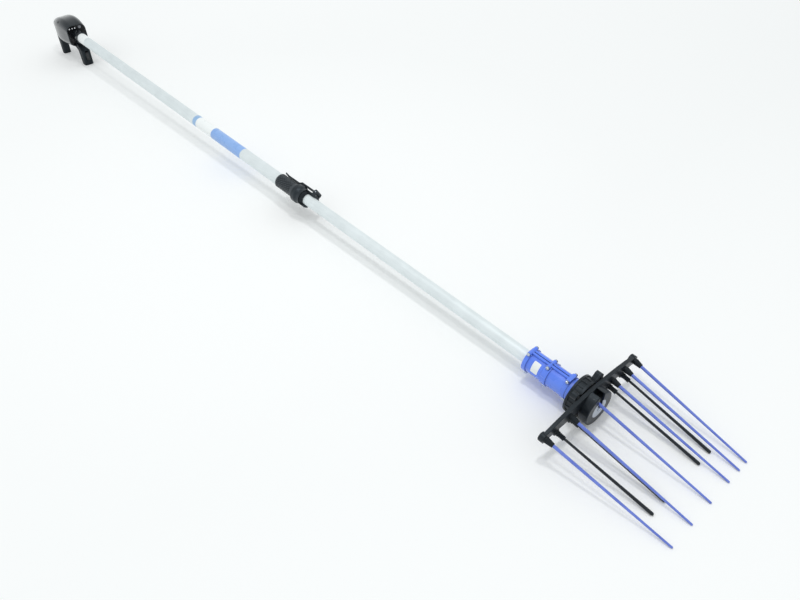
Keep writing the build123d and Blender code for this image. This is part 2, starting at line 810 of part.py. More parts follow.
magnet_radius = motor_bore - press_play
magnet_bore = armature_radius + magnet_gap

with BuildPart() as motor_magnets:
    with BuildSketch(across(armature_rear_x)) as magnet_section:
        for middle in (0, 180):
            arc = [polar(magnet_radius, middle + turn * magnet_span / 2) for turn in (-1, 0, 1)]
            inner = [polar(magnet_bore, middle + turn * magnet_span / 2) for turn in (1, 0, -1)]
            with BuildLine():
                ThreePointArc(*arc)
                Line(arc[2], inner[0])
                ThreePointArc(*inner)
                Line(inner[2], arc[0])
            make_face()
    extrude(amount=armature_length)
keep(motor_magnets, "motor_magnets")

with BuildPart() as motor_armature:
    with BuildSketch(across(armature_rear_x)) as lamination:
        Circle(armature_radius)
        with PolarLocations(armature_radius, armature_slots):
            Rectangle(armature_radius, armature_slot, mode=Mode.SUBTRACT)
        Circle(motor_shaft_radius + press_play, mode=Mode.SUBTRACT)
    extrude(amount=armature_length)
    ring(
        armature_rear_x - commutator_length,
        armature_rear_x,
        commutator_radius,
        motor_shaft_radius + press_play,
    )
keep(motor_armature, "motor_armature")

with BuildPart() as motor_shaft:
    ring(motor_rear_x, gear_front_x, motor_shaft_radius)
keep(motor_shaft, "motor_shaft")

# Motor housing: two half shells joined on the upright plane by screws across the tool

collar_bore = inner_tube_radius + press_play
housing_bore = motor_radius + slip_play
screw_z = housing_radius + flange_height / 2
boss_radius = housing_screw_radius + boss_wall
ring_width = 2 * boss_radius
front_ring_x = case_rear_x - front_neck
rear_screw_x = housing_rear_x + ring_width / 2
front_screw_x = front_ring_x - ring_width / 2
mid_screw_x = (rear_screw_x + front_screw_x) / 2
housing_screw_places = []
for station in (rear_screw_x, mid_screw_x, front_screw_x):
    housing_screw_places.append((station, screw_z))
    housing_screw_places.append((station, -screw_z))

with BuildPart() as housing:
    ring(housing_rear_x, case_rear_x, housing_radius)
    ring(housing_rear_x, housing_rear_x + ring_width, housing_radius + rear_ring_height)
    ring(mid_screw_x - mid_ring_width / 2, mid_screw_x + mid_ring_width / 2, housing_radius + mid_ring_height)
    ring(front_ring_x - ring_width, front_ring_x, housing_radius + front_ring_height)
    with BuildSketch(across(housing_rear_x)) as flanges:
        Rectangle(2 * flange_half, 2 * flange_top)
    extrude(amount=front_ring_x - housing_rear_x)
    with BuildSketch(across(front_ring_x - ring_width)) as front_block:
        RectangleRounded(2 * boss_half, 2 * (flange_top + block_rise), boss_radius)
    extrude(amount=ring_width)
    cross_rod(-boss_half, boss_half, boss_radius, housing_screw_places)
    ring(tube_front_x, spigot_rear_x, housing_bore, mode=Mode.SUBTRACT)
    ring(spigot_rear_x, case_rear_x, spigot_radius + slip_play, mode=Mode.SUBTRACT)
    ring(housing_rear_x, tube_front_x, collar_bore, mode=Mode.SUBTRACT)
    cross_rod(-boss_half, boss_half, housing_screw_radius + slip_play, housing_screw_places, Mode.SUBTRACT)
    # Spot faces for the screw heads and the nuts
    head_room = housing_screw_head_radius + slip_play
    nut_room = housing_nut_radius + slip_play
    cross_rod(-housing_radius, -boss_half, head_room, housing_screw_places, Mode.SUBTRACT)
    cross_rod(boss_half, housing_radius, nut_room, housing_screw_places, Mode.SUBTRACT)
    # Groove along the parting line, on top and below
    with BuildSketch(across(housing_rear_x + ring_width)) as groove:
        with Locations((0, flange_top), (0, -flange_top)):
            Rectangle(parting_groove, 2 * parting_groove)
    extrude(amount=front_ring_x - housing_rear_x - 2 * ring_width, mode=Mode.SUBTRACT)

with BuildPart() as housing_left:
    add(housing.part)
    split(bisect_by=beside(0), keep=Keep.BOTTOM)
keep(housing_left, "motor_housing_left")

with BuildPart() as housing_right:
    add(housing.part)
    split(bisect_by=beside(0), keep=Keep.TOP)
keep(housing_right, "motor_housing_right")

with BuildPart() as housing_screws:
    cross_rod(-boss_half, boss_half + housing_nut, housing_screw_radius, housing_screw_places)
    cross_rod(-boss_half - housing_screw_head, -boss_half, housing_screw_head_radius, housing_screw_places)
keep(housing_screws, "housing_screws")

with BuildPart() as housing_nuts:
    with BuildSketch(beside(boss_half)) as nut_section:
        with Locations(*housing_screw_places):
            RegularPolygon(housing_nut_radius, 6)
            Circle(housing_screw_radius + press_play, mode=Mode.SUBTRACT)
    extrude(amount=-housing_nut)
keep(housing_nuts, "housing_nuts")

# Telescopic pole and the lead inside it

with BuildPart() as inner_tube:
    ring(inner_rear_x, tube_front_x, inner_tube_radius, inner_tube_bore)
keep(inner_tube, "inner_tube")

with BuildPart() as guide_bush:
    ring(
        inner_rear_x - guide_bush_lip,
        inner_rear_x + guide_bush_length,
        outer_tube_bore - running_play,
        inner_tube_radius + press_play,
    )
    ring(inner_rear_x - guide_bush_lip, inner_rear_x, outer_tube_bore - running_play, inner_tube_bore)
keep(guide_bush, "guide_bush")

with BuildPart() as outer_tube:
    ring(outer_rear_x, outer_front_x, outer_tube_radius, outer_tube_bore)
keep(outer_tube, "outer_tube")

plug_front_x = outer_rear_x + bulkhead
coil_front_x = outer_front_x - coil_in_tube

with BuildPart() as tube_plug:
    ring(outer_rear_x, plug_front_x, outer_tube_bore - press_play)
    ring(outer_rear_x - handle_wall, outer_rear_x, outer_tube_radius)
    ring(outer_rear_x - handle_wall, plug_front_x, lead_radius, mode=Mode.SUBTRACT)
keep(tube_plug, "tube_plug")

with BuildPart() as coiled_lead:
    ring(plug_front_x, coil_front_x, coil_radius, coil_radius - coil_wall)
keep(coiled_lead, "coiled_lead")

with BuildPart() as motor_lead:
    ring(coil_front_x, motor_rear_x, lead_radius)
keep(motor_lead, "motor_lead")

# Pole clamp: a gripped sleeve, a body with open jaws and a lever on the far upper side

clamp_rear_x = outer_front_x - clamp_body_length
sleeve_rear_x = clamp_rear_x - clamp_sleeve_length
nose_x = outer_front_x + clamp_nose_length
prong_x = nose_x + clamp_prong
clamp_bore = outer_tube_radius + slip_play
jaw_bore = inner_tube_radius + sliding_play
sleeve_radius = clamp_bore + clamp_sleeve_wall
clamp_radius = clamp_bore + clamp_body_wall
nose_radius = jaw_bore + clamp_nose_wall
lever_centre_radius = nose_radius + lever_lift
lever_side, lever_rise = polar(1, lever_bearing_angle)
lever_out = tool.y_dir * lever_side + tool.z_dir * lever_rise
lever_across = tool.x_dir.cross(lever_out)


def lever_plane(sideways):
    # Upright plane of the lever: sketch x is forward, sketch y is away from the pole
    return Plane(
        origin=at_tool(outer_front_x, 0, 0) + lever_across * sideways,
        x_dir=tool.x_dir,
        z_dir=lever_across,
    )


with BuildPart() as clamp_sleeve:
    ring(sleeve_rear_x, clamp_rear_x, sleeve_radius)
    chamfer(clamp_sleeve.edges().filter_by(GeomType.CIRCLE).sort_by(pole_axis)[0], length=sleeve_grip_depth)
    with BuildSketch(across(sleeve_rear_x)) as grips:
        with PolarLocations(sleeve_radius, sleeve_grips):
            Circle(sleeve_grip_depth)
    extrude(amount=clamp_sleeve_length - sleeve_collar, mode=Mode.SUBTRACT)
    ring(sleeve_rear_x, clamp_rear_x, clamp_bore, mode=Mode.SUBTRACT)
keep(clamp_sleeve, "clamp_sleeve")

ear_half = clamp_lever_width / 2 + moving_gap + clamp_ear_thickness
ear_foot = sqrt(nose_radius**2 - ear_half**2) - clamp_ear_sink
lever_pivot = (clamp_lever_pivot, lever_centre_radius)

with BuildPart() as clamp_body:
    with BuildSketch(beside(0)) as clamp_profile:
        with BuildLine():
            Polyline(
                (clamp_rear_x, 0),
                (clamp_rear_x, clamp_radius - clamp_body_wall / 2),
                (clamp_rear_x + clamp_body_wall / 2, clamp_radius),
                (outer_front_x - clamp_body_wall / 2, clamp_radius),
                (outer_front_x + clamp_body_wall / 2, nose_radius),
                (prong_x, nose_radius),
                (prong_x, 0),
                close=True,
            )
        make_face()
    revolve(axis=pole_axis)
    ring(clamp_rear_x, outer_front_x, clamp_bore, mode=Mode.SUBTRACT)
    ring(outer_front_x, prong_x, jaw_bore, mode=Mode.SUBTRACT)
    # Open jaws: the top is cut away in front, and the far prong reaches further than the near one
    with BuildSketch(across(outer_front_x + jaw_collar)) as jaw_gap:
        with BuildLine():
            gap_middle = (clamp_notch_start + clamp_notch_end) / 2
            gap_angles = (clamp_notch_start, gap_middle, clamp_notch_end)
            gap_arc = [polar(2 * nose_radius, angle) for angle in gap_angles]
            Line((0, 0), gap_arc[0])
            ThreePointArc(*gap_arc)
            Line(gap_arc[2], (0, 0))
        make_face()
    extrude(amount=2 * clamp_nose_length, mode=Mode.SUBTRACT)
    with BuildSketch(across(nose_x)) as near_side:
        with BuildLine():
            near_middle = (clamp_notch_end + near_jaw_end) / 2
            near_angles = (clamp_notch_start, near_middle, near_jaw_end)
            near_arc = [polar(2 * nose_radius, angle) for angle in near_angles]
            Line((0, 0), near_arc[0])
            ThreePointArc(*near_arc)
            Line(near_arc[2], (0, 0))
        make_face()
    extrude(amount=2 * clamp_nose_length, mode=Mode.SUBTRACT)
    # Two ears on the far prong carry the lever
    for sideways in (ear_half, clamp_ear_thickness - ear_half):
        with BuildSketch(lever_plane(sideways)) as ear_profile:
            with Locations(lever_pivot):
                Circle(clamp_ear_radius)
                Rectangle(
                    2 * clamp_ear_radius,
                    lever_centre_radius - ear_foot,
                    align=(Align.CENTER, Align.MAX),
                )
                Circle(lever_pin_radius + press_play, mode=Mode.SUBTRACT)
        extrude(amount=-clamp_ear_thickness)
keep(clamp_body, "clamp_body")

with BuildPart() as clamp_pin:
    with BuildSketch(lever_plane(ear_half)) as pin_section:
        with Locations(lever_pivot):
            Circle(lever_pin_radius)
    extrude(amount=-2 * ear_half)
keep(clamp_pin, "clamp_pin")

lever_eye = lever_lift - moving_gap
body_level = clamp_radius + moving_gap  # underside of the lever over the clamp's body
sleeve_level = sleeve_radius + moving_gap  # underside of the lever along the sleeve
bend_end = -clamp_body_length - lever_bend
tip_start = clamp_lever_pivot - clamp_lever_length + lever_tip

with BuildPart() as clamp_lever:
    # A flat arm that lies back over the body and along the sleeve, with a turned-up end
    with BuildSketch(lever_plane(clamp_lever_width / 2)) as lever_profile:
        with BuildLine():
            lower_side = (
                (clamp_lever_pivot, body_level),
                (-clamp_body_length, body_level),
                (bend_end, sleeve_level),
                (tip_start, sleeve_level),
                (tip_start - lever_tip, sleeve_level + lever_tip_rise),
            )
            upper_side = [(x, level + clamp_lever_thickness) for x, level in reversed(lower_side)]
            Polyline(*lower_side, *upper_side, close=True)
        make_face()
        with Locations(lever_pivot):
            Circle(lever_eye)
            Circle(lever_pin_radius + running_play, mode=Mode.SUBTRACT)
    extrude(amount=-clamp_lever_width)
    fillet(clamp_lever.faces().sort_by(pole_axis)[0].edges(), radius=clamp_lever_thickness / 4)
keep(clamp_lever, "clamp_lever")

# Handle

sections = (
    (0.0, front_half_width, front_top, front_bottom),
    (crown_back, crown_half_width, crown_top, crown_bottom),
    (shoulder_back, shoulder_half_width, shoulder_top, shoulder_bottom),
    (rear_back, rear_half_width, rear_top, rear_bottom),
)


def handle_section(back, half_width, top, bottom, inset):
    # Rounded section of the handle's body, a distance behind its front
    half_height = (top - bottom) / 2
    corner = min(half_width, half_height) * handle_roundness
    with BuildSketch(across(handle_front_x - back)) as outline:
        with Locations((0, (top + bottom) / 2)):
            RectangleRounded(2 * (half_width - inset), 2 * (half_height - inset), corner - inset)
    return outline.sketch


bulkhead_front_x = handle_front_x - bulkhead_back
second_bulkhead_front_x = bulkhead_front_x - bulkhead - second_bulkhead_gap
inlet_front_x = handle_rear_x + inlet_depth
inlet_radius = inlet_bore + inlet_wall
grip_x = handle_front_x + grip_front
grip_rear_x = grip_x - grip_length
foot_x = handle_rear_x + foot_length
panel_rear_x = handle_front_x - panel_thickness
trigger_x = grip_x - trigger_pivot_back
trigger_z = -trigger_pivot_depth
blade_bottom = trigger_z - trigger_blade
pocket_rear_x = trigger_x - trigger_hub_radius - trigger_gap
toe_ahead = trigger_pivot_back + trigger_proud
toe_drop = toe_ahead * sin(radians(trigger_travel))  # how far the blade's toe sinks when it is pulled
pocket_floor = blade_bottom - toe_drop - trigger_gap
tube_hole = outer_tube_radius + slip_play
collar_radius = tube_hole + collar_wall
collar_front_x = handle_front_x + collar_length
handle_screw_places = (
    (handle_front_x - crown_back, crown_top - handle_boss_inset),
    (handle_front_x - shoulder_back, shoulder_top - handle_boss_inset),
    (handle_front_x - shoulder_back, shoulder_bottom + handle_boss_inset),
    ((pocket_rear_x + grip_rear_x) / 2, blade_bottom),
)
pad_plane = Plane.XY.offset(pad_height)


def upright_edges(solid):
    # The edges of a leg that run up and down
    return solid.edges().filter_by(lambda edge: abs(edge.tangent_at(0.5).Z) > sin(radians(steep_angle)))


with BuildPart() as grip:
    with BuildSketch(beside(-grip_half_width)):
        with BuildLine():
            Polyline(
                (handle_front_x, -collar_radius + collar_wall / 2),
                (grip_x, front_bottom - grip_neck),
                (grip_x - grip_taper, ground_z(grip_x - grip_taper)),
                (grip_rear_x, ground_z(grip_rear_x)),
                (grip_rear_x - 2 * grip_taper, front_bottom - grip_neck),
                (handle_front_x - grip_root, front_bottom),
                (handle_front_x - grip_root, front_bottom + grip_neck),
                close=True,
            )
        make_face()
    extrude(amount=-2 * grip_half_width)
    fillet(upright_edges(grip), radius=leg_round)

with BuildPart() as rear_foot:
    with BuildSketch(beside(foot_side - foot_half_width)):
        with BuildLine():
            Polyline(
                (foot_x + foot_taper, shoulder_bottom + foot_taper),
                (foot_x, ground_z(foot_x)),
                (handle_rear_x, ground_z(handle_rear_x)),
                (handle_rear_x, rear_bottom + handle_wall),
                close=True,
            )
        make_face()
    extrude(amount=-2 * foot_half_width)
    fillet(upright_edges(rear_foot), radius=leg_round)

with BuildPart() as foot_pads:
    add(grip.part)
    add(rear_foot.part)
    split(bisect_by=pad_plane, keep=Keep.BOTTOM)
keep(foot_pads, "foot_pads")

with BuildPart() as legs:
    add(grip.part)
    add(rear_foot.part)
    split(bisect_by=pad_plane, keep=Keep.TOP)

# Space inside the handle: the body's form, one wall smaller, without bulkheads, bosses and the rear wall
with BuildPart() as handle_cavity:
    loft([handle_section(*section, handle_wall) for section in sections])
    for station in (bulkhead_front_x, second_bulkhead_front_x):
        ring(station - bulkhead, station, 2 * crown_top, mode=Mode.SUBTRACT)
    ring(handle_rear_x, handle_rear_x + handle_wall, 2 * crown_top, mode=Mode.SUBTRACT)
    ring(handle_rear_x, inlet_front_x + handle_wall, inlet_radius + handle_wall, mode=Mode.SUBTRACT)
    screw_boss = handle_screw_radius + handle_boss_wall
    cross_rod(-crown_half_width, crown_half_width, screw_boss, handle_screw_places, Mode.SUBTRACT)

with BuildPart() as handle_body:
    loft([handle_section(*section, 0.0) for section in sections])
    add(handle_cavity.part, mode=Mode.SUBTRACT)
    add(legs.part)
    extrude(handle_section(*sections[0], handle_wall), amount=-panel_thickness, mode=Mode.SUBTRACT)
    ring(bulkhead_front_x, collar_front_x, collar_radius)
    ring(outer_rear_x - handle_wall, collar_front_x, tube_hole, mode=Mode.SUBTRACT)
    ring(handle_rear_x, inlet_front_x, inlet_radius + slip_play, mode=Mode.SUBTRACT)
    screw_hole = handle_screw_radius + press_play
    cross_rod(-crown_half_width, handle_screw_grip, screw_hole, handle_screw_places, Mode.SUBTRACT)
    head_hole = handle_screw_head_radius + slip_play
    cross_rod(-crown_half_width, -handle_screw_depth, head_hole, handle_screw_places, Mode.SUBTRACT)
    # Slot for the trigger, open to the front, and the hole for its pin
    pocket_half = trigger_half_width + trigger_gap
    with BuildSketch(beside(-pocket_half)):
        with BuildLine():
            Polyline(
                (pocket_rear_x, trigger_z + trigger_hub_radius + trigger_gap),
                (grip_x + trigger_proud, trigger_z + trigger_hub_radius + trigger_gap),
                (grip_x + trigger_proud, pocket_floor),
                (pocket_rear_x, pocket_floor),
                close=True,
            )
        make_face()
    extrude(amount=-2 * pocket_half, mode=Mode.SUBTRACT)
    pin_half = grip_half_width - leg_round
    cross_rod(-pin_half, pin_half, trigger_pin_radius + press_play, ((trigger_x, trigger_z),), Mode.SUBTRACT)

with BuildPart() as handle_left:
    add(handle_body.part)
    split(bisect_by=beside(0), keep=Keep.BOTTOM)
keep(handle_left, "handle_shell_left")

with BuildPart() as handle_right:
    add(handle_body.part)
    split(bisect_by=beside(0), keep=Keep.TOP)
keep(handle_right, "handle_shell_right")

with BuildPart() as handle_screws:
    cross_rod(-handle_screw_depth, handle_screw_grip, handle_screw_radius, handle_screw_places)
    head_top = -handle_screw_depth - handle_screw_head
    cross_rod(head_top, -handle_screw_depth, handle_screw_head_radius, handle_screw_places)
keep(handle_screws, "handle_screws")

# Trigger, its pin and the switch behind it

with BuildPart() as trigger:
    with BuildSketch(beside(-trigger_half_width)):
        with BuildLine():
            blade_front = grip_x + trigger_proud
            hub_top = (trigger_x, trigger_z + trigger_hub_radius)
            blade_root = (blade_front - trigger_proud, trigger_z)
            blade_middle = (blade_front - trigger_proud / 2 - trigger_hollow, trigger_z - trigger_blade / 2)
            blade_toe = (blade_front, blade_bottom)
            Line(hub_top, blade_root)
            ThreePointArc(blade_root, blade_middle, blade_toe)
            Line(blade_toe, (blade_front - trigger_thickness, blade_bottom))
            rear_side = Line(
                (blade_front - trigger_thickness, blade_bottom), (trigger_x - trigger_hub_radius, trigger_z)
            )
            RadiusArc(rear_side @ 1, hub_top, trigger_hub_radius)
        make_face()
        with Locations((trigger_x, trigger_z)):
            Circle(trigger_pin_radius + running_play, mode=Mode.SUBTRACT)
    extrude(amount=-2 * trigger_half_width)
keep(trigger, "trigger")

with BuildPart() as trigger_pin:
    cross_rod(-pin_half, pin_half, trigger_pin_radius, ((trigger_x, trigger_z),))
keep(trigger_pin, "trigger_pin")

with BuildPart() as trigger_switch:
    with BuildSketch(beside(-switch_half_width)):
        with Locations((pocket_rear_x, blade_bottom)):
            Rectangle(switch_length, switch_height, align=Align.MIN)
    extrude(amount=-2 * switch_half_width)
keep(trigger_switch, "trigger_switch")

# Front panel with its button and lights, and the control board behind it

button_rear_x = panel_rear_x - button_flange
board_front_x = panel_rear_x - board_gap
board_bottom = collar_radius + board_clearance
button_centre = (button_side, panel_row)
light_centres = [(light_first + number * light_step, panel_row) for number in range(light_count)]
post_height = board_bottom + board_post_radius
# One post stands between the first two lights, the other between the last light and the button
first_post = light_first + light_step / 2
last_light = light_first + (light_count - 1) * light_step
second_post = (last_light + button_side - button_radius - button_flange) / 2
board_posts = ((first_post, post_height), (second_post, post_height))

with BuildPart() as front_panel:
    extrude(handle_section(*sections[0], handle_wall + slip_play), amount=-panel_thickness)
    ring(board_front_x, panel_rear_x, board_post_radius, centres=board_posts)
    ring(panel_rear_x, handle_front_x, collar_radius + slip_play, mode=Mode.SUBTRACT)
    button_hole = button_radius + sliding_play
    ring(panel_rear_x, handle_front_x, button_hole, mode=Mode.SUBTRACT, centres=(button_centre,))
    ring(panel_rear_x, handle_front_x, light_radius + press_play, mode=Mode.SUBTRACT, centres=light_centres)
keep(front_panel, "front_panel")

with BuildPart() as power_button:
    ring(button_rear_x, handle_front_x + button_proud, button_radius, centres=(button_centre,))
    ring(button_rear_x, panel_rear_x, button_radius + button_flange, centres=(button_centre,))
    fillet(power_button.edges().sort_by(pole_axis)[-1], radius=button_proud / 2)
keep(power_button, "power_button")

with BuildPart() as panel_lights:
    ring(handle_front_x - light_depth, handle_front_x + light_proud, light_radius, centres=light_centres)
keep(panel_lights, "panel_lights")

with BuildPart() as control_board:
    with BuildSketch(across(board_front_x)):
        with Locations((0, board_bottom)):
            Rectangle(2 * board_half_width, board_height, align=(Align.CENTER, Align.MIN))
    extrude(amount=-board_thickness)
    ring(board_front_x, button_rear_x - tact_switch_gap, tact_switch_radius, centres=(button_centre,))
keep(control_board, "control_board")

# Power inlet in the rear wall

with BuildPart() as power_inlet:
    ring(handle_rear_x, inlet_front_x, inlet_radius)
    ring(inlet_rear_x, handle_rear_x, inlet_radius + inlet_flange)
    ring(inlet_rear_x, inlet_front_x - inlet_floor, inlet_bore, mode=Mode.SUBTRACT)
keep(power_inlet, "power_inlet")
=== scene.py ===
import json

import bmesh
import bpy
import numpy as np
from mathutils import Matrix, Vector


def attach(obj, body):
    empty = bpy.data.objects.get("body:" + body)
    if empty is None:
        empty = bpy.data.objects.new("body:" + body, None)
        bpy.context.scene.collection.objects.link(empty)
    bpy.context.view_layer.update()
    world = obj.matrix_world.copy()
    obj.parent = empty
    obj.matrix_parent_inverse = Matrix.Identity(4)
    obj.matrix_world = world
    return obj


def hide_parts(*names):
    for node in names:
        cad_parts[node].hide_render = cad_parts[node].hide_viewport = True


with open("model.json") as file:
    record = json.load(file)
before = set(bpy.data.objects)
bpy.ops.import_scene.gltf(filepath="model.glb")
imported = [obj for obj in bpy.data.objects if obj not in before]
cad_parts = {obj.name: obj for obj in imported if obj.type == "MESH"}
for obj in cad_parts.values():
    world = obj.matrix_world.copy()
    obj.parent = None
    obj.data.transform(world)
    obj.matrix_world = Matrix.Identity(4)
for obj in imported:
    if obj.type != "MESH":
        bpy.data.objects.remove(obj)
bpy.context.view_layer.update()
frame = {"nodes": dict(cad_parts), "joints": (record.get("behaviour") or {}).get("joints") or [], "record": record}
joints = {joint["name"]: joint for joint in frame["joints"]}

# The pole's own axes: forward to the comb, left and up, with zero at the back of the comb bar
poleForward = np.array(joints["telescope"]["axis"])
poleLeft = np.array([0.0, 1.0, 0.0])
poleUp = np.array([-poleForward[2], 0.0, poleForward[0]])
poleAxes = np.stack([poleForward, poleLeft, poleUp])
caseFront = -0.0035  # station of the gear case's front on the pole
poleZero = np.array(joints["comb_rock"]["pos_m"]) - caseFront * poleForward


def onPole(points):
    # Points along the pole, to its left and above it, in metres, put into the model's frame
    return poleZero + np.asarray(points, float) @ poleAxes


# Camera: place, view direction and lens of the photo, along the pole's axes
camera = {
    "place": (0.4103, -0.8888, 1.1475),
    "forward": (-0.5309, 0.4881, -0.6928),
    "lens": 32.45,
    "sensor": 36.0,
    "clip": (0.05, 60.0),
}


def unit(vector):
    return vector / np.linalg.norm(vector)


viewForward = unit(np.array(camera["forward"]) @ poleAxes)
viewRight = unit(np.cross(viewForward, poleUp))
viewUp = np.cross(viewRight, viewForward)
cameraData = bpy.data.cameras.new("photoCamera")
cameraData.lens = camera["lens"]
cameraData.sensor_width = camera["sensor"]
cameraData.clip_start, cameraData.clip_end = camera["clip"]
cameraObject = bpy.data.objects.new("photoCamera", cameraData)
turn = Matrix(np.stack([viewRight, viewUp, -viewForward], -1).tolist()).to_4x4()
cameraObject.matrix_world = Matrix.Translation(Vector(onPole(camera["place"]))) @ turn
bpy.context.scene.collection.objects.link(cameraObject)
bpy.context.scene.camera = cameraObject
bpy.context.scene.view_settings.view_transform = "Standard"
print("camera placed")


# Small helpers for node trees

def addNode(tree, kind, **values):
    node = tree.nodes.new(kind)
    for name, value in values.items():
        setattr(node, name, value)
    return node


def joinInput(tree, value, socket):
    if isinstance(value, bpy.types.NodeSocket):
        tree.links.new(value, socket)
    else:
        socket.default_value = value


def mathNode(tree, operation, first, second=0.0):
    node = addNode(tree, "ShaderNodeMath", operation=operation)
    joinInput(tree, first, node.inputs[0])
    joinInput(tree, second, node.inputs[1])
    return node.outputs[0]


def vectorNode(tree, operation, first, second):
    node = addNode(tree, "ShaderNodeVectorMath", operation=operation)
    joinInput(tree, first, node.inputs[0])
    joinInput(tree, second, node.inputs[1])
    return node.outputs["Value" if operation == "DOT_PRODUCT" else "Vector"]


def meanOf(tree, first, second):
    return mathNode(tree, "MULTIPLY", mathNode(tree, "ADD", first, second), 0.5)


def rootOfSquares(tree, first, second):
    squares = [mathNode(tree, "MULTIPLY", value, value) for value in (first, second)]
    return mathNode(tree, "SQRT", mathNode(tree, "ADD", *squares))


def ramped(tree, value, low, high, fromLow=0.0, fromHigh=1.0):
    ramp = addNode(tree, "ShaderNodeMapRange")
    ramp.inputs["From Min"].default_value = fromLow
    ramp.inputs["From Max"].default_value = fromHigh
    ramp.inputs["To Min"].default_value = low
    ramp.inputs["To Max"].default_value = high
    tree.links.new(value, ramp.inputs["Value"])
    return ramp.outputs["Result"]


def masked(tree, value, limits):
    # Nothing below the first limit, one above the second
    return ramped(tree, value, 0.0, 1.0, *limits)


def noiseNode(tree, vector, scale, detail):
    noise = addNode(tree, "ShaderNodeTexNoise")
    noise.inputs["Detail"].default_value = detail
    tree.links.new(vector, noise.inputs["Vector"])
    joinInput(tree, scale, noise.inputs["Scale"])
    return noise.outputs["Fac"]


def partsOf(tree, vector):
    split = addNode(tree, "ShaderNodeSeparateXYZ")
    tree.links.new(vector, split.inputs[0])
    return split.outputs


def coordinates(tree, kind):
    return addNode(tree, "ShaderNodeTexCoord").outputs[kind]


def emptyTree(owner):
    owner.use_nodes = True
    owner.node_tree.nodes.clear()
    return owner.node_tree


# Shared effects: node groups that read a place and one dial

number, direction = "NodeSocketFloat", "NodeSocketVector"  # kinds of group sockets


def newGroup(name, dial, **outputs):
    group = bpy.data.node_groups.new(name, "ShaderNodeTree")
    for label, kind in (("Vector", direction), (dial, number)):
        group.interface.new_socket(label, in_out="INPUT", socket_type=kind)
    for label, kind in outputs.items():
        group.interface.new_socket(label, in_out="OUTPUT", socket_type=kind)
    start = group.nodes.new("NodeGroupInput").outputs
    end = group.nodes.new("NodeGroupOutput").inputs
    return group, start["Vector"], start[dial], end


grainEffect = {"detail": 3.0, "driftScale": 28.0, "driftDetail": 4.0, "drift": (0.3, 0.7)}


def mouldGrainGroup(effect):
    # Spark-eroded mould grain: fine noise mixed with small cells, and a slow drift of tone
    group, spot, scale, end = newGroup("mouldGrain", "Scale", Height=number, Tone=number)
    fine = noiseNode(group, spot, scale, effect["detail"])
    cells = addNode(group, "ShaderNodeTexVoronoi", feature="SMOOTH_F1")
    group.links.new(spot, cells.inputs["Vector"])
    group.links.new(scale, cells.inputs["Scale"])
    drift = noiseNode(group, spot, effect["driftScale"], effect["driftDetail"])
    group.links.new(meanOf(group, fine, cells.outputs["Distance"]), end["Height"])
    group.links.new(masked(group, drift, effect["drift"]), end["Tone"])
    return group


handlingEffect = {
    "turn": (0.3, 0.2, 0.7), "stretch": (40.0, 900.0, 500.0), "scratches": (0.62, 0.72),
    "patchScale": 45.0, "patches": (0.5, 0.75), "detail": 2.0,
}


def handlingGroup(effect):
    # Rubbing and fine scratches: thresholded stretched noise over thresholded patches
    group, spot, amount, end = newGroup("handling", "Amount", Mask=number)
    stretch = addNode(group, "ShaderNodeMapping")
    stretch.inputs["Rotation"].default_value = effect["turn"]
    stretch.inputs["Scale"].default_value = effect["stretch"]
    group.links.new(spot, stretch.inputs["Vector"])
    streaks = noiseNode(group, stretch.outputs["Vector"], 1.0, effect["detail"])
    scratches = masked(group, streaks, effect["scratches"])
    patches = noiseNode(group, spot, effect["patchScale"], effect["detail"])
    both = mathNode(group, "MULTIPLY", scratches, masked(group, patches, effect["patches"]))
    group.links.new(mathNode(group, "MULTIPLY", both, amount), end["Mask"])
    return group


edgeEffect = {
    "samples": 6, "parted": (0.02, 0.16),
    "patchScale": 160.0, "patchDetail": 4.0, "patches": (0.42, 0.62),
}


def softEdgeGroup(effect):
    # Broken edges: normals averaged over a small radius; where they part from the face's own
    # normal, the edge is marked in patches, for edge wear and a painted highlight on the edge
    group, spot, radius, end = newGroup("softEdge", "Radius", Normal=direction, Mask=number)
    rounded = addNode(group, "ShaderNodeBevel", samples=effect["samples"])
    group.links.new(radius, rounded.inputs["Radius"])
    face = addNode(group, "ShaderNodeNewGeometry")
    along = vectorNode(group, "DOT_PRODUCT", rounded.outputs["Normal"], face.outputs["Normal"])
    parted = masked(group, mathNode(group, "SUBTRACT", 1.0, along), effect["parted"])
    patches = noiseNode(group, spot, effect["patchScale"], effect["patchDetail"])
    rubbed = mathNode(group, "MULTIPLY", parted, masked(group, patches, effect["patches"]))
    group.links.new(rounded.outputs["Normal"], end["Normal"])
    group.links.new(rubbed, end["Mask"])
    return group


creviceShadeEffect = {
    "samples": 6, "open": (0.25, 0.85),
    "patchScale": 120.0, "patchDetail": 3.0, "patches": (0.35, 0.6), "least": 0.7,
}


def paintedShadeGroup(effect):
    # Painted shade in corners: how much of the near surroundings a point sees, turned over and
    # broken up by noise
    group, spot, reach, end = newGroup("paintedCornerShade", "Reach", Mask=number)
    near = addNode(group, "ShaderNodeAmbientOcclusion", samples=effect["samples"])
    group.links.new(reach, near.inputs["Distance"])
    closed = ramped(group, near.outputs["AO"], 1.0, 0.0, *effect["open"])
    patches = noiseNode(group, spot, effect["patchScale"], effect["patchDetail"])
    broken = ramped(group, patches, effect["least"], 1.0, *effect["patches"])
    group.links.new(mathNode(group, "MULTIPLY", closed, broken), end["Mask"])
    return group


drawnEffect = {
    "stretch": (0.004, 1.0, 1.0), "lineDetail": 4.0,
    "cloudScale": 22.0, "cloudDetail": 5.0, "tone": (0.35, 0.65),
}


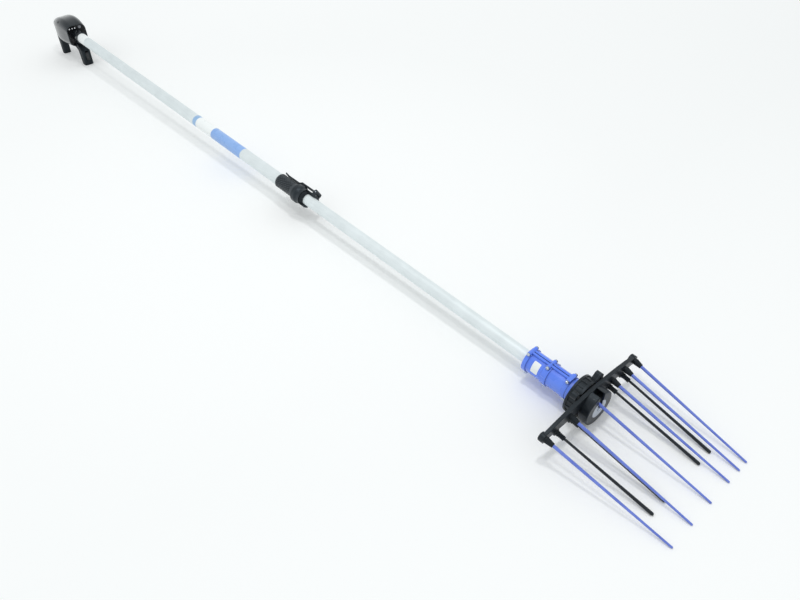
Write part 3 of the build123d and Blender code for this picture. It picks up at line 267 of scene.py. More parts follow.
def drawnLinesGroup(effect):
    # Die lines of a drawn tube: noise stretched far along the pole, with cloudy patches of oxide
    group, spot, fineness, end = newGroup("drawnLines", "Fineness", Height=number, Tone=number)
    stretched = vectorNode(group, "MULTIPLY", spot, effect["stretch"])
    lines = noiseNode(group, stretched, fineness, effect["lineDetail"])
    clouds = noiseNode(group, spot, effect["cloudScale"], effect["cloudDetail"])
    group.links.new(lines, end["Height"])
    group.links.new(masked(group, meanOf(group, lines, clouds), effect["tone"]), end["Tone"])
    return group


mouldGrain = mouldGrainGroup(grainEffect)
handling = handlingGroup(handlingEffect)
softEdge = softEdgeGroup(edgeEffect)
paintedCornerShade = paintedShadeGroup(creviceShadeEffect)
drawnLines = drawnLinesGroup(drawnEffect)
print("shared effects ready")


# Finishes

def startFinish(name):
    material = bpy.data.materials.new(name)
    tree = emptyTree(material)
    shader = addNode(tree, "ShaderNodeBsdfPrincipled")
    output = addNode(tree, "ShaderNodeOutputMaterial")
    tree.links.new(shader.outputs["BSDF"], output.inputs["Surface"])
    return material, tree, shader, coordinates(tree, "Object")


def placeGroup(tree, group, spot, dial):
    node = addNode(tree, "ShaderNodeGroup", node_tree=group)
    place, setting = node.inputs
    tree.links.new(spot, place)
    setting.default_value = dial
    return node.outputs


mixSockets = {"first": 6, "second": 7, "result": 2}  # where a Mix node keeps its colours


def mixColour(tree, share, first, second):
    mix = addNode(tree, "ShaderNodeMix", data_type="RGBA")
    tree.links.new(share, mix.inputs["Factor"])
    for colour, place in ((first, mixSockets["first"]), (second, mixSockets["second"])):
        joinInput(tree, (*colour, 1.0) if isinstance(colour, tuple) else colour, mix.inputs[place])
    return mix.outputs[mixSockets["result"]]


def partingSeam(tree, spot, halfWidth):
    # Seam of the two half shells: one on the upright middle plane, falling to nothing beside it
    aside = mathNode(tree, "ABSOLUTE", partsOf(tree, spot)["Y"])
    return ramped(tree, aside, 1.0, 0.0, 0.0, halfWidth)


def fromPole(tree, spot):
    # Distance from the pole's centre line: root of the squares of the two offsets across it
    offset = vectorNode(tree, "SUBTRACT", spot, tuple(poleZero))
    aside = vectorNode(tree, "DOT_PRODUCT", offset, tuple(poleLeft))
    above = vectorNode(tree, "DOT_PRODUCT", offset, tuple(poleUp))
    return rootOfSquares(tree, aside, above)


def turnedRings(tree, spot, pitch):
    # Lathe marks: a sine of the distance from the pole's centre line
    turns = mathNode(tree, "MULTIPLY", fromPole(tree, spot), 2 * np.pi / pitch)
    return mathNode(tree, "SINE", turns)


def skinWearAndPaintedLight(tree, spot, tone, look):
    # Two near tones mixed by the tone, paler where rubbed, paler on edges for edge wear and a
    # painted highlight, and darker in corners with painted shade
    rubbed = placeGroup(tree, handling, spot, look["wearAndHighlight"])
    edge = placeGroup(tree, softEdge, spot, look["edge"])
    # Painted shade: corners are darkened towards a deeper copy of the dark tone
    corner = placeGroup(tree, paintedCornerShade, spot, look["reach"])
    # Edge wear and a painted highlight: edges are mixed towards the pale colour
    edgeWearAndHighlight = mathNode(tree, "MULTIPLY", edge["Mask"], look["wearAndHighlight"])
    wearAndHighlight = mathNode(tree, "MAXIMUM", rubbed["Mask"], edgeWearAndHighlight)
    shade = mathNode(tree, "MULTIPLY", corner["Mask"], look["shade"])
    colour = mixColour(tree, tone, look["dark"], look["light"])
    colour = mixColour(tree, wearAndHighlight, colour, look["wornAndHighlight"])
    cornerShadeTone = tuple(look["cornerShadeTone"] * part for part in look["dark"])
    return mixColour(tree, shade, colour, cornerShadeTone), edge["Normal"], wearAndHighlight


def addRelief(tree, shader, height, normal, look):
    bump = addNode(tree, "ShaderNodeBump")
    bump.inputs["Strength"].default_value = look["strength"]
    bump.inputs["Distance"].default_value = look["relief"]
    tree.links.new(height, bump.inputs["Height"])
    tree.links.new(normal, bump.inputs["Normal"])
    tree.links.new(bump.outputs["Normal"], shader.inputs["Normal"])


# What moulded looks share where they don't give their own value
mouldedBase = {
    "edge": 0.0006, "reach": 0.006, "shade": 0.6, "cornerShadeTone": 0.3, "strength": 0.5, "wearRough": 0.2,
    "shine": 0.5, "tint": (1.0, 1.0, 1.0), "coat": 0.0, "coatRough": 0.08, "seamDepth": 4.0,
}


def mouldedFinish(name, look):
    # Moulded plastic or rubber: grain in tone, gloss and relief, rubbed places rougher. A seam,
    # a painted highlight on the crests, turned rings and a polish that starts at a height come
    # where the look has them.
    look = {**mouldedBase, **look}
    material, tree, shader, spot = startFinish(name)
    grain = placeGroup(tree, mouldGrain, spot, look["grain"])
    colour, normal, wearAndHighlight = skinWearAndPaintedLight(tree, spot, grain["Tone"], look)
    height = grain["Height"]
    gloss = ramped(tree, grain["Tone"], *look["rough"])
    rough = mathNode(tree, "ADD", gloss, mathNode(tree, "MULTIPLY", wearAndHighlight, look["wearRough"]))
    if "seam" in look:
        seam = partingSeam(tree, spot, look["seam"])
        colour = mixColour(tree, seam, colour, look["dark"])
        cut = mathNode(tree, "MULTIPLY", seam, look["seamDepth"])
        height = mathNode(tree, "SUBTRACT", height, cut)
    # Painted highlight on the knurl's crests: the outermost skin is mixed towards the pale colour
    if "crestHighlights" in look:
        crestHighlight = ramped(tree, fromPole(tree, spot), 0.0, look["crestHighlightShare"], *look["crestHighlights"])
        colour = mixColour(tree, crestHighlight, colour, look["wornAndHighlight"])
    if "rings" in look:
        height = mathNode(tree, "ADD", height, turnedRings(tree, spot, look["rings"]))
    if "polish" in look:
        polish = masked(tree, partsOf(tree, spot)["Z"], look["polish"])
        coat = mathNode(tree, "MULTIPLY", polish, look["coat"])
        tree.links.new(coat, shader.inputs["Coat Weight"])
        rough = mathNode(tree, "ADD", rough, ramped(tree, polish, look["matte"], 0.0))
    else:
        shader.inputs["Coat Weight"].default_value = look["coat"]
    shader.inputs["Coat Roughness"].default_value = look["coatRough"]
    shader.inputs["Specular IOR Level"].default_value = look["shine"]
    shader.inputs["Specular Tint"].default_value = (*look["tint"], 1.0)
    tree.links.new(colour, shader.inputs["Base Color"])
    tree.links.new(rough, shader.inputs["Roughness"])
    addRelief(tree, shader, height, normal, look)
    return material


# What metal looks share where they don't give their own value
metalBase = {"edge": 0.0004, "reach": 0.004, "shade": 0.4, "cornerShadeTone": 0.4, "strength": 0.5}


def metalFinish(name, look):
    # Drawn or turned metal: fine lines in tone, gloss and relief
    look = {**metalBase, **look}
    material, tree, shader, spot = startFinish(name)
    lines = placeGroup(tree, drawnLines, spot, look["fineness"])
    colour, normal = skinWearAndPaintedLight(tree, spot, lines["Tone"], look)[:2]
    tree.links.new(colour, shader.inputs["Base Color"])
    tree.links.new(ramped(tree, lines["Tone"], *look["rough"]), shader.inputs["Roughness"])
    shader.inputs["Metallic"].default_value = look["metal"]
    addRelief(tree, shader, lines["Height"], normal, look)
    return material


coolTint = (0.74, 0.88, 1.0)  # cool reflections of the black plastics
mouldedLooks = {
    "headBlack": {
        "dark": (0.0045, 0.0062, 0.0085), "light": (0.010, 0.0132, 0.017),
        "wornAndHighlight": (0.120, 0.134, 0.148), "rough": (0.34, 0.50), "shine": 0.30, "tint": coolTint,
        "coat": 0.2, "grain": 1500.0, "relief": 0.00020, "wearAndHighlight": 0.6, "edge": 0.0012,
        "shade": 0.95, "reach": 0.010},
    "tineBlue": {
        "dark": (0.095, 0.155, 0.60), "light": (0.145, 0.225, 0.72), "wornAndHighlight": (0.30, 0.38, 0.80),
        "rough": (0.20, 0.32), "coat": 0.6, "grain": 2200.0, "relief": 0.00004, "wearAndHighlight": 0.3},
    "tineBlack": {
        "dark": (0.005, 0.0065, 0.0085), "light": (0.010, 0.012, 0.015),
        "wornAndHighlight": (0.06, 0.065, 0.07), "rough": (0.28, 0.40), "shine": 0.28, "tint": coolTint,
        "coat": 0.35, "grain": 2200.0, "relief": 0.00004, "wearAndHighlight": 0.3},
    "shellBlue": {
        "dark": (0.080, 0.195, 0.88), "light": (0.115, 0.255, 0.95), "wornAndHighlight": (0.34, 0.50, 0.96),
        "rough": (0.18, 0.30), "coat": 0.5, "grain": 1600.0, "relief": 0.00008, "wearAndHighlight": 0.45,
        "edge": 0.0009, "shade": 1.0, "reach": 0.009},
    "bootRubber": {
        "dark": (0.006, 0.0075, 0.0095), "light": (0.012, 0.014, 0.0165),
        "wornAndHighlight": (0.05, 0.053, 0.056), "rough": (0.55, 0.72), "shine": 0.32, "tint": coolTint,
        "grain": 2600.0, "relief": 0.00010, "wearAndHighlight": 0.3},
    "discGrey": {
        "dark": (0.47, 0.51, 0.57), "light": (0.57, 0.61, 0.67), "wornAndHighlight": (0.72, 0.75, 0.78),
        "rough": (0.34, 0.46), "grain": 1400.0, "relief": 0.00004, "wearAndHighlight": 0.3, "rings": 0.0007},
    "clampBlack": {
        "dark": (0.008, 0.0105, 0.013), "light": (0.015, 0.0185, 0.022),
        "wornAndHighlight": (0.12, 0.13, 0.14), "rough": (0.32, 0.46), "shine": 0.44, "tint": coolTint,
        "grain": 1300.0, "relief": 0.00022, "wearAndHighlight": 0.55, "edge": 0.0011,
        "shade": 0.95, "reach": 0.010},
    "sleeveBlack": {
        "dark": (0.004, 0.0052, 0.0065), "light": (0.009, 0.011, 0.013),
        "wornAndHighlight": (0.135, 0.147, 0.158), "rough": (0.28, 0.42), "shine": 0.42, "tint": coolTint,
        "grain": 1900.0, "relief": 0.00008, "wearAndHighlight": 0.5, "edge": 0.0005,
        "shade": 1.0, "reach": 0.004, "crestHighlights": (0.0196, 0.0202), "crestHighlightShare": 0.34},
    "handleShell": {
        "dark": (0.005, 0.0068, 0.0085), "light": (0.010, 0.013, 0.016),
        "wornAndHighlight": (0.07, 0.077, 0.083), "rough": (0.13, 0.21), "shine": 0.38, "tint": coolTint,
        "coat": 0.60, "polish": (0.070, 0.079), "matte": 0.42, "seam": 0.0004,
        "grain": 1700.0, "relief": 0.00004, "wearAndHighlight": 0.3, "edge": 0.0009},
    "triggerBlack": {
        "dark": (0.008, 0.0095, 0.0115), "light": (0.014, 0.016, 0.019),
        "wornAndHighlight": (0.07, 0.074, 0.078), "rough": (0.30, 0.42),
        "grain": 1500.0, "relief": 0.00006, "wearAndHighlight": 0.4},
    "panelBlack": {
        "dark": (0.003, 0.0034, 0.0045), "light": (0.006, 0.0066, 0.0085),
        "wornAndHighlight": (0.03, 0.032, 0.036), "rough": (0.06, 0.12), "shine": 0.22,
        "grain": 2400.0, "relief": 0.00001, "wearAndHighlight": 0.2},
    "buttonGrey": {
        "dark": (0.075, 0.080, 0.096), "light": (0.100, 0.107, 0.126), "wornAndHighlight": (0.18, 0.185, 0.20),
        "rough": (0.34, 0.46), "grain": 2200.0, "relief": 0.00003, "wearAndHighlight": 0.4},
    "markWhite": {
        "dark": (0.74, 0.76, 0.77), "light": (0.86, 0.88, 0.89), "wornAndHighlight": (0.55, 0.56, 0.56),
        "rough": (0.40, 0.55), "grain": 2600.0, "relief": 0.00001, "wearAndHighlight": 0.3,
        "edge": 0.0001, "shade": 0.0},
    "lensClear": {
        "dark": (0.82, 0.85, 0.88), "light": (0.92, 0.94, 0.96), "wornAndHighlight": (0.9, 0.91, 0.92),
        "rough": (0.10, 0.18), "coat": 0.4, "grain": 2400.0, "relief": 0.00001, "wearAndHighlight": 0.1,
        "shade": 0.1},
    "boardGreen": {
        "dark": (0.015, 0.09, 0.035), "light": (0.03, 0.14, 0.06), "wornAndHighlight": (0.12, 0.2, 0.14),
        "rough": (0.3, 0.45), "grain": 2400.0, "relief": 0.00003, "wearAndHighlight": 0.1},
    "filmBlue": {
        "dark": (0.250, 0.435, 0.83), "light": (0.295, 0.490, 0.88), "wornAndHighlight": (0.48, 0.62, 0.90),
        "rough": (0.22, 0.34), "grain": 1200.0, "relief": 0.00002, "wearAndHighlight": 0.35,
        "edge": 0.0001, "shade": 0.1},
    "filmPale": {
        "dark": (0.285, 0.475, 0.745), "light": (0.345, 0.540, 0.810), "wornAndHighlight": (0.55, 0.68, 0.83),
        "rough": (0.22, 0.34), "grain": 1200.0, "relief": 0.00002, "wearAndHighlight": 0.35,
        "edge": 0.0001, "shade": 0.1},
    "filmWhite": {
        "dark": (0.930, 0.965, 0.965), "light": (0.950, 0.985, 0.985), "wornAndHighlight": (0.80, 0.83, 0.83),
        "rough": (0.24, 0.36), "grain": 1200.0, "relief": 0.00002, "wearAndHighlight": 0.25,
        "edge": 0.0001, "shade": 0.1},
    "labelWhite": {
        "dark": (0.86, 0.90, 0.90), "light": (0.905, 0.94, 0.94), "wornAndHighlight": (0.74, 0.77, 0.77),
        "rough": (0.42, 0.58), "grain": 3000.0, "relief": 0.00003, "wearAndHighlight": 0.3,
        "edge": 0.0001, "shade": 0.1},
}
metalLooks = {
    "tubeSatin": {
        "dark": (0.730, 0.790, 0.805), "light": (0.840, 0.900, 0.915), "wornAndHighlight": (0.65, 0.70, 0.715),
        "rough": (0.46, 0.58), "metal": 0.35, "fineness": 1500.0, "relief": 0.00002, "wearAndHighlight": 0.25,
        "shade": 0.2},
    "screwSteel": {
        "dark": (0.48, 0.53, 0.60), "light": (0.65, 0.71, 0.78), "wornAndHighlight": (0.78, 0.82, 0.86),
        "rough": (0.18, 0.32), "metal": 1.0, "fineness": 2600.0, "relief": 0.00002, "wearAndHighlight": 0.3},
    "screwBlack": {
        "dark": (0.020, 0.022, 0.025), "light": (0.036, 0.039, 0.043), "wornAndHighlight": (0.16, 0.165, 0.17),
        "rough": (0.30, 0.42), "metal": 0.5, "fineness": 2600.0, "relief": 0.00002, "wearAndHighlight": 0.5},
    "bushBronze": {
        "dark": (0.42, 0.28, 0.11), "light": (0.58, 0.41, 0.18), "wornAndHighlight": (0.66, 0.52, 0.30),
        "rough": (0.30, 0.44), "metal": 1.0, "fineness": 2200.0, "relief": 0.00002, "wearAndHighlight": 0.3},
    "magnetGrey": {
        "dark": (0.06, 0.06, 0.065), "light": (0.11, 0.11, 0.115), "wornAndHighlight": (0.16, 0.16, 0.16),
        "rough": (0.5, 0.66), "metal": 0.4, "fineness": 2200.0, "relief": 0.00002, "wearAndHighlight": 0.3},
}
finishes = {name: mouldedFinish(name, look) for name, look in mouldedLooks.items()}
finishes.update({name: metalFinish(name, look) for name, look in metalLooks.items()})

finishOfSlot = {
    "black_nylon": "headBlack", "blue_housing": "shellBlue", "blue_tines": "tineBlue",
    "black_tines": "tineBlack", "boot_rubber": "bootRubber", "grey_plate": "discGrey",
    "tube": "tubeSatin", "steel": "screwSteel", "bearing_bronze": "bushBronze",
    "magnet": "magnetGrey", "lead_sheath": "bootRubber", "handle_black": "handleShell",
    "panel_black": "panelBlack", "light_lens": "lensClear", "board": "boardGreen",
}
finishOfNode = {  # nodes that look unlike the rest of their slot
    "clamp_sleeve": "sleeveBlack", "clamp_body": "clampBlack", "clamp_lever": "clampBlack",
    "trigger": "triggerBlack", "power_button": "buttonGrey", "power_inlet": "triggerBlack",
    "case_screws": "screwBlack", "handle_screws": "screwBlack",
}
slotOfNode = {part["node"]: part["material_slot"] for part in frame["record"]["subparts"]}
for node, slot in slotOfNode.items():
    mesh = frame["nodes"][node].data
    mesh.materials.clear()
    mesh.materials.append(finishes[finishOfNode.get(node, finishOfSlot[slot])])
print("finishes on", len(slotOfNode), "nodes")


# Pieces: surfaces on a grid, worked out along the pole and put into the model's frame

mergeDistance = 1e-7


def gridFaces(rows, columns, roundRows=False, roundColumns=True):
    # Quads between neighbours of a grid, joined round where the grid closes on itself
    row, column = np.meshgrid(
        np.arange(rows if roundRows else rows - 1),
        np.arange(columns if roundColumns else columns - 1),
        indexing="ij",
    )
    nextRow, nextColumn = (row + 1) % rows, (column + 1) % columns
    corners = [(row, column), (row, nextColumn), (nextRow, nextColumn), (nextRow, column)]
    return np.stack([down * columns + over for down, over in corners], -1).reshape(-1, 4)


def makePiece(name, grids, finish, body, crease=35.0):
    # Grids of points, each with its faces, joined in one mesh; doubles merged, faces turned outward
    sheets = [grid.reshape(-1, 3) for grid, faces in grids]
    firsts = np.cumsum([0] + [len(sheet) for sheet in sheets])
    quads = np.concatenate([faces + first for (grid, faces), first in zip(grids, firsts)])
    mesh = bpy.data.meshes.new(name)
    mesh.from_pydata(np.concatenate(sheets).tolist(), [], quads.tolist())
    work = bmesh.new()
    work.from_mesh(mesh)
    bmesh.ops.remove_doubles(work, verts=work.verts, dist=mergeDistance)
    bmesh.ops.recalc_face_normals(work, faces=work.faces)
    work.to_mesh(mesh)
    work.free()
    mesh.shade_smooth()
    mesh.set_sharp_from_angle(angle=np.radians(crease))
    mesh.materials.append(finishes[finish])
    piece = bpy.data.objects.new(name, mesh)
    bpy.context.scene.collection.objects.link(piece)
    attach(piece, body)
    print("piece", name, len(mesh.polygons), "faces")
    return piece


def roundPole(along, radius, angle):
    # Stations, radii and angles from the left over the top, as points round the pole
    return onPole(np.stack([along, radius * np.cos(angle), radius * np.sin(angle)], -1))


# Coloured film on the thick tube: a thin strip section carried once round the pole. Its radius
# grows by the overlap over the turn, so the film's end lies on its beginning, on the underside.
tubeFilms = {
    "radius": 0.0175, "film": 0.00010, "overlap": 0.00008, "feather": 0.0006, "sunk": 0.00003,
    "columns": 180, "lastTurn": 0.99999,
    "bands": {
        "rearBand": (-1.484, -1.466, "filmPale"),
        "middleBand": (-1.466, -1.380, "filmWhite"),
        "frontBand": (-1.380, -1.225, "filmBlue"),
        "handleBand": (-2.2895, -2.239, "filmWhite"),
    },
}


def wrappedFilm(start, end, films):
    low, high = films["radius"] - films["sunk"], films["radius"] + films["film"]
    middle, feather = (low + high) / 2, films["feather"]
    stations = np.array([start, start, start + feather, end - feather, end, end])
    radii = np.array([low, middle, high, high, middle, low])
    turns = np.linspace(0, 1, films["columns"], endpoint=False)
    turns = np.append(turns, films["lastTurn"])
    lift = films["overlap"] * turns[None, :] * (radii > low)[:, None]
    angle = -np.pi / 2 + 2 * np.pi * turns[None, :] + 0 * radii[:, None]
    points = roundPole(stations[:, None] + 0 * angle, radii[:, None] + lift, angle)
    return points, gridFaces(*angle.shape, roundRows=True)


for name, (start, end, finish) in tubeFilms["bands"].items():
    makePiece(name, [wrappedFilm(start, end, tubeFilms)], finish, "handle")


# Bare label on the near upper side of the motor housing: a sheet bent round it, whose half width
# at each station is the full one less what the corner circle takes off, closed underneath and at
# the ends.
housingLabel = {
    "middle": -0.1205, "halfLength": 0.0085, "angle": 149.0, "halfRound": 0.0135,
    "corner": 0.0022, "radius": 0.02505, "thick": 0.00014, "sunk": 0.00004,
    "rows": 41, "columns": 48,
}


def bentLabel(label):
    corner = label["corner"]
    offset = -label["halfLength"] * np.cos(np.linspace(0, np.pi, label["rows"]))
    intoCorner = np.clip(np.abs(offset) - label["halfLength"] + corner, 0, corner)
    halfRound = label["halfRound"] - corner + np.sqrt(corner ** 2 - intoCorner ** 2)
    offset, halfRound = [np.pad(values, 1, mode="edge") for values in (offset, halfRound)]
    raised = np.full(len(offset), label["thick"])
    raised[[0, -1]] = -label["sunk"]
    across = np.linspace(-1, 1, label["columns"])
    across = np.concatenate([across, across[::-1]])[None, :]
    upper = (np.arange(2 * label["columns"]) < label["columns"])[None, :]
    angle = np.radians(label["angle"]) + halfRound[:, None] / label["radius"] * across
    radius = label["radius"] + np.where(upper, raised[:, None], -label["sunk"])
    points = roundPole(label["middle"] + offset[:, None] + 0 * angle, radius, angle)
    return points, gridFaces(*angle.shape)


makePiece("housingLabel", [bentLabel(housingLabel)], "labelWhite", "front_pole")


# Knurled sleeve of the clamp: a closed section carried round the pole. On its outside two families
# of helical grooves cross, each a tent-shaped dip of the fractional part of turns plus or minus
# length, the second one shallower.
knurledSleeve = {
    "rear": -1.045, "front": -0.971, "bore": 0.01765, "radius": 0.02025, "chamfer": 0.0009,
    "plainRear": 0.004, "plainFront": 0.0095, "fade": 0.0012, "starts": 15, "pitch": 0.0090,
    "depth": 0.0013, "grooveShare": 0.62, "secondLess": 0.15, "rows": 140, "columns": 330,
    "crease": 28.0,
}


def knurled(sleeve):
    rear, front, radius = sleeve["rear"], sleeve["front"], sleeve["radius"]
    outside = np.linspace(rear + sleeve["chamfer"], front, sleeve["rows"])
    stations = np.concatenate([[rear, rear], outside, [front]])
    edges = [sleeve["bore"], radius - sleeve["chamfer"]]
    radii = np.concatenate([edges, np.full(sleeve["rows"], radius), [sleeve["bore"]]])
    angle = np.linspace(0, 2 * np.pi, sleeve["columns"], endpoint=False)[None, :]
    angle = angle + 0 * stations[:, None]
    starts = sleeve["starts"] * angle / (2 * np.pi)
    lengths = stations[:, None] / sleeve["pitch"]
    first, second = [np.abs((starts + way * lengths) % 1.0 - 0.5) * 2 for way in (1, -1)]
    dips = np.minimum(first, second + sleeve["secondLess"])
    groove = np.clip(1 - dips / sleeve["grooveShare"], 0, 1)
    fromRear = stations - rear - sleeve["plainRear"]
    fromFront = front - sleeve["plainFront"] - stations
    weight = np.clip(np.minimum(fromRear, fromFront) / sleeve["fade"], 0, 1) * (radii == radius)
    cut = radii[:, None] - sleeve["depth"] * groove * weight[:, None]
    points = roundPole(stations[:, None] + 0 * angle, cut, angle)
    return points, gridFaces(*angle.shape, roundRows=True)


sleevePiece = makePiece(
    "knurledSleeve", [knurled(knurledSleeve)], "sleeveBlack", "handle",
    crease=knurledSleeve["crease"],
)
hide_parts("clamp_sleeve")


# Dark rubber ring in the clamp's mouth, between its jaws, put there as painted shade for the
# shadowed inside of the mouth: a lipped section carried over the top of the pole. Its outside
# falls evenly to the front and dips by the squared sine of the length, once between
# neighbouring lips; each end closes to a point.
mouthShadeRing = {
    "rear": -0.9368, "front": -0.9250, "bore": 0.01525, "radius": 0.0198, "fall": 0.0012,
    "groove": 0.0016, "lips": 2, "angles": (62.0, 205.0), "rows": 41, "columns": 72,
}


def lippedShadeRing(shadeRing):
    share = np.linspace(0, 1, shadeRing["rows"])
    dip = np.sin(np.pi * (shadeRing["lips"] - 1) * share) ** 2
    outside = shadeRing["radius"] - shadeRing["fall"] * share - shadeRing["groove"] * dip
    length = shadeRing["front"] - shadeRing["rear"]
    stations = shadeRing["rear"] + length * np.concatenate([share, [1, 0]])
    radii = np.concatenate([outside, [shadeRing["bore"]] * 2])
    angle = np.radians(np.linspace(*shadeRing["angles"], shadeRing["columns"]))
    angle = np.pad(angle, 1, mode="edge")[None, :] + 0 * stations[:, None]
    stations, radii = stations[:, None] + 0 * angle, radii[:, None] + 0 * angle
    for values in (stations, radii):
        values[:, [0, -1]] = values[:, :1].mean()
    points = roundPole(stations, radii, angle)
    return points, gridFaces(*angle.shape, roundRows=True, roundColumns=False)


makePiece(
    "mouthShadeRing", [lippedShadeRing(mouthShadeRing)], "bootRubber", "handle"
)


# Cross-recess screw heads, fitted over the plain heads: a parabola of the distance from the middle,
# less a cross-shaped dip that is deepest in the middle, with a skirt down to the plain head's foot.
screwHeads = {
    "housingScrewHeads": {
        "body": "front_pole", "node": "housing_screws", "finish": "screwSteel",
        "radius": 0.00388, "crown": 0.0011, "skirt": 0.0030,
        "places": [
            (station, -0.0155, side * 0.02705)
            for station in (-0.1469, -0.0965, -0.0461) for side in (1, -1)
        ],
    },
    "handleScrewHeads": {
        "body": "handle", "node": "handle_screws", "finish": "screwBlack",
        "radius": 0.00346, "crown": 0.0010, "skirt": 0.0026,
        "places": [
            (-2.390, -0.0116, 0.038), (-2.438, -0.0116, 0.027),
            (-2.438, -0.0116, -0.032), (-2.3149, -0.0116, -0.082),
        ],
    },
}
headShape = {
    "outward": (0.0, -1.0, 0.0), "rows": 30, "columns": 96, "crease": 50.0,
    "armWidth": 0.19, "armReach": 0.62, "sideSlope": 3.0, "endSlope": 2.2, "dip": 0.92,
}


def crossHeads(heads, shape):
    outward = np.array(shape["outward"])
    across = np.cross(outward, (0.0, 0.0, 1.0))
    upright = np.cross(outward, across)
    share = np.linspace(0, 1, shape["rows"])[:, None]
    turns = np.linspace(0, 2 * np.pi, shape["columns"], endpoint=False)[None, :]
    first, second = share * np.cos(turns), share * np.sin(turns)
    sideways = np.minimum(np.abs(first), np.abs(second)) / shape["armWidth"]
    lengthways = np.maximum(np.abs(first), np.abs(second)) / shape["armReach"]
    walls = np.clip((1 - sideways) * shape["sideSlope"], 0, 1)
    ends = np.clip((1 - lengthways) * shape["endSlope"], 0, 1)
    rise = heads["crown"] * (1 - share ** 2) - heads["crown"] * shape["dip"] * walls * ends
    first, second = [
        np.concatenate([part, part[-1:], 0 * part[-1:]]) for part in (first, second)
    ]
    rise = np.concatenate([rise, np.full((2, shape["columns"]), -heads["skirt"])])
    local = heads["radius"] * (first[..., None] * across + second[..., None] * upright)
    local = local + rise[..., None] * outward
    faces = gridFaces(*rise.shape)
    return [(onPole(local + np.array(place)), faces) for place in heads["places"]]


for name, heads in screwHeads.items():
    makePiece(
        name, crossHeads(heads, headShape), heads["finish"], heads["body"],
        crease=headShape["crease"],
    )


# Mark on the power button: a low half-round ridge carried along an open ring and a short bar.
powerMark = {
    "front": -2.3264, "centre": (0.015, 0.0275), "ring": 0.0027, "gap": 38.0,
    "bar": (0.0012, 0.0036), "halfWidth": 0.00032, "height": 0.00014, "sunk": 0.00003,
    "steps": 64, "taperSteps": 3.0, "sides": 12,
}


def ridgeAlong(path, normals, mark):
    # A half-round section on each point of the path, narrowed by a root over the last few steps
    sides = np.linspace(0, np.pi, mark["sides"])
    half, sunk = mark["halfWidth"], mark["sunk"]
    across = np.concatenate([half * np.cos(sides), [-half, half]])
    raised = np.concatenate([mark["height"] * np.sin(sides), [-sunk, -sunk]])
    steps = np.arange(len(path))
    toEnd = np.minimum(steps, steps[::-1]) / mark["taperSteps"]
    width = np.sqrt(np.clip(toEnd, 0, 1))[:, None] * across[None, :]
    flat = path[:, None, :] + normals[:, None, :] * width[..., None]
    front = mark["front"] + raised[None, :] + 0 * width
    points = np.concatenate([front[..., None], flat + np.array(mark["centre"])], -1)
    return onPole(points), gridFaces(*width.shape)


def powerRidges(mark):
    top = 90.0
    angle = np.linspace(top + mark["gap"], top + 360.0 - mark["gap"], mark["steps"])
    spokes = np.stack([np.cos(np.radians(angle)), np.sin(np.radians(angle))], -1)
    heights = np.linspace(*mark["bar"], mark["steps"])
    bar = np.stack([0 * heights, heights], -1)
    sideways = np.tile([1.0, 0.0], (mark["steps"], 1))
    return [ridgeAlong(mark["ring"] * spokes, spokes, mark), ridgeAlong(bar, sideways, mark)]


makePiece(
    "powerMark", powerRidges(powerMark), "markWhite", "power_button"
)


# Contact pins in the power inlet: a profile with a flared foot and a round nose, turned about each
# pin's own line.
inletPins = {
    "floor": -2.4640, "reach": 0.0105, "radius": 0.0011, "flare": 1.25, "ring": 0.0040,
    "count": 3, "firstPin": 90.0, "rows": 18, "columns": 40,
}


def turnedPins(pins):
    nose = np.linspace(0, np.pi / 2, pins["rows"])
    shank, thick = pins["reach"] - pins["radius"], pins["radius"]
    along = np.concatenate([[0, 0, shank], shank + thick * np.sin(nose)])
    radius = np.concatenate([[0, pins["flare"] * thick, thick], thick * np.cos(nose)])
    turns = np.linspace(0, 2 * np.pi, pins["columns"], endpoint=False)[None, :]
    over, up = radius[:, None] * np.cos(turns), radius[:, None] * np.sin(turns)
    pin = np.stack([-along[:, None] + 0 * turns, over, up], -1)
    bearings = pins["firstPin"] + 360.0 * np.arange(pins["count"]) / pins["count"]
    feet = pins["ring"] * np.stack([np.cos(np.radians(bearings)), np.sin(np.radians(bearings))], -1)
    feet = np.insert(feet, 0, pins["floor"], axis=1)
    return [(onPole(pin + foot), gridFaces(*over.shape)) for foot in feet]


makePiece(
    "inletPins", turnedPins(inletPins), "bushBronze", "handle"
)


# Stage: a pale floor, a pale room and two lamps high above

def directlySeen(tree):
    # One where the camera, a reflection or a clear piece looks at it, nothing where it gives light
    rays = addNode(tree, "ShaderNodeLightPath").outputs
    seen = mathNode(tree, "MAXIMUM", rays["Is Camera Ray"], rays["Is Glossy Ray"])
    return mathNode(tree, "MAXIMUM", seen, rays["Is Transmission Ray"])


# The floor's lift evens out its white: it grows to the rear of the tool and far away from it
stage = {
    "reach": 14.0, "floor": (0.935, 0.942, 0.942),
    "liftFront": 0.024, "liftRear": 0.105, "frontEnd": 0.7, "rearEnd": -1.3,
    "liftAway": 0.26, "nearEdge": 1.0, "awayEdge": 6.0,
}
floorCorners = stage["reach"] * np.array([(-1, -1, 0), (1, -1, 0), (1, 1, 0), (-1, 1, 0)])
floorMesh = bpy.data.meshes.new("floor")
floorMesh.from_pydata(floorCorners.tolist(), [], [(0, 1, 2, 3)])
floorObject = bpy.data.objects.new("floor", floorMesh)
bpy.context.scene.collection.objects.link(floorObject)
floorMaterial = bpy.data.materials.new("floorPale")
tree = emptyTree(floorMaterial)
matte = addNode(tree, "ShaderNodeBsdfDiffuse")
matte.inputs["Color"].default_value = (*stage["floor"], 1.0)
glow = addNode(tree, "ShaderNodeEmission")
place = partsOf(tree, coordinates(tree, "Object"))
ends = stage["frontEnd"], stage["rearEnd"]
lift = ramped(tree, place["X"], stage["liftFront"], stage["liftRear"], *ends)
span = rootOfSquares(tree, place["X"], place["Y"])
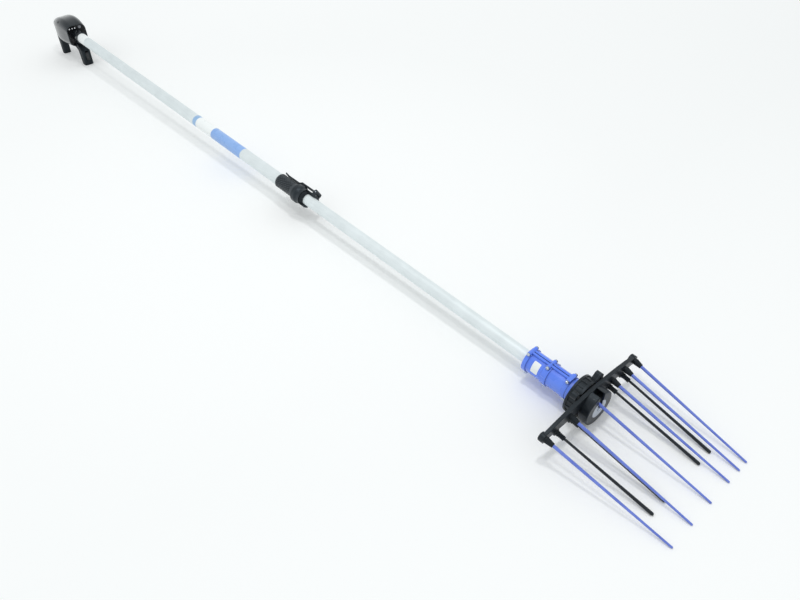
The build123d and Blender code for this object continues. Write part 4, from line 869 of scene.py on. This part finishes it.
away = ramped(tree, span, 0.0, stage["liftAway"], stage["nearEdge"], stage["awayEdge"])
lift = mathNode(tree, "ADD", lift, away)
tree.links.new(mathNode(tree, "MULTIPLY", directlySeen(tree), lift), glow.inputs["Strength"])
both = addNode(tree, "ShaderNodeAddShader")
tree.links.new(matte.outputs[0], both.inputs[0])
tree.links.new(glow.outputs[0], both.inputs[1])
output = addNode(tree, "ShaderNodeOutputMaterial")
tree.links.new(both.outputs[0], output.inputs["Surface"])
floorMesh.materials.append(floorMaterial)

# The room lights from all round and most from above; looked at, it is white at the sides
room = {
    "side": 0.60, "top": 0.86, "tint": (0.970, 0.998, 1.0),
    "seenSide": 1.0, "seenTop": 0.70, "sideEnd": 0.15, "topEnd": 0.70,
}
world = bpy.data.worlds.new("paleRoom")
bpy.context.scene.world = world
tree = emptyTree(world)
height = partsOf(tree, coordinates(tree, "Generated"))["Z"]
lighting = ramped(tree, height, room["side"], room["top"])
ends = room["sideEnd"], room["topEnd"]
shown = ramped(tree, height, room["seenSide"], room["seenTop"], *ends)
more = mathNode(tree, "SUBTRACT", shown, lighting)
more = mathNode(tree, "MULTIPLY", directlySeen(tree), more)
background = addNode(tree, "ShaderNodeBackground")
background.inputs["Color"].default_value = (*room["tint"], 1.0)
tree.links.new(mathNode(tree, "ADD", lighting, more), background.inputs["Strength"])
output = addNode(tree, "ShaderNodeOutputWorld")
tree.links.new(background.outputs[0], output.inputs["Surface"])

# Two small disks that shine straight down
lamps = {
    "overheadLamp": {"place": (0.65, 0.18, 3.0), "size": 0.30, "power": 14.5},
    "nearLamp": {"place": (0.55, -0.68, 3.0), "size": 0.30, "power": 9.0},
}
for name, lamp in lamps.items():
    lampData = bpy.data.lights.new(name, "AREA")
    lampData.shape = "DISK"
    lampData.size = lamp["size"]
    lampData.energy = lamp["power"]
    lampObject = bpy.data.objects.new(name, lampData)
    lampObject.location = lamp["place"]
    bpy.context.scene.collection.objects.link(lampObject)
print("stage lit")
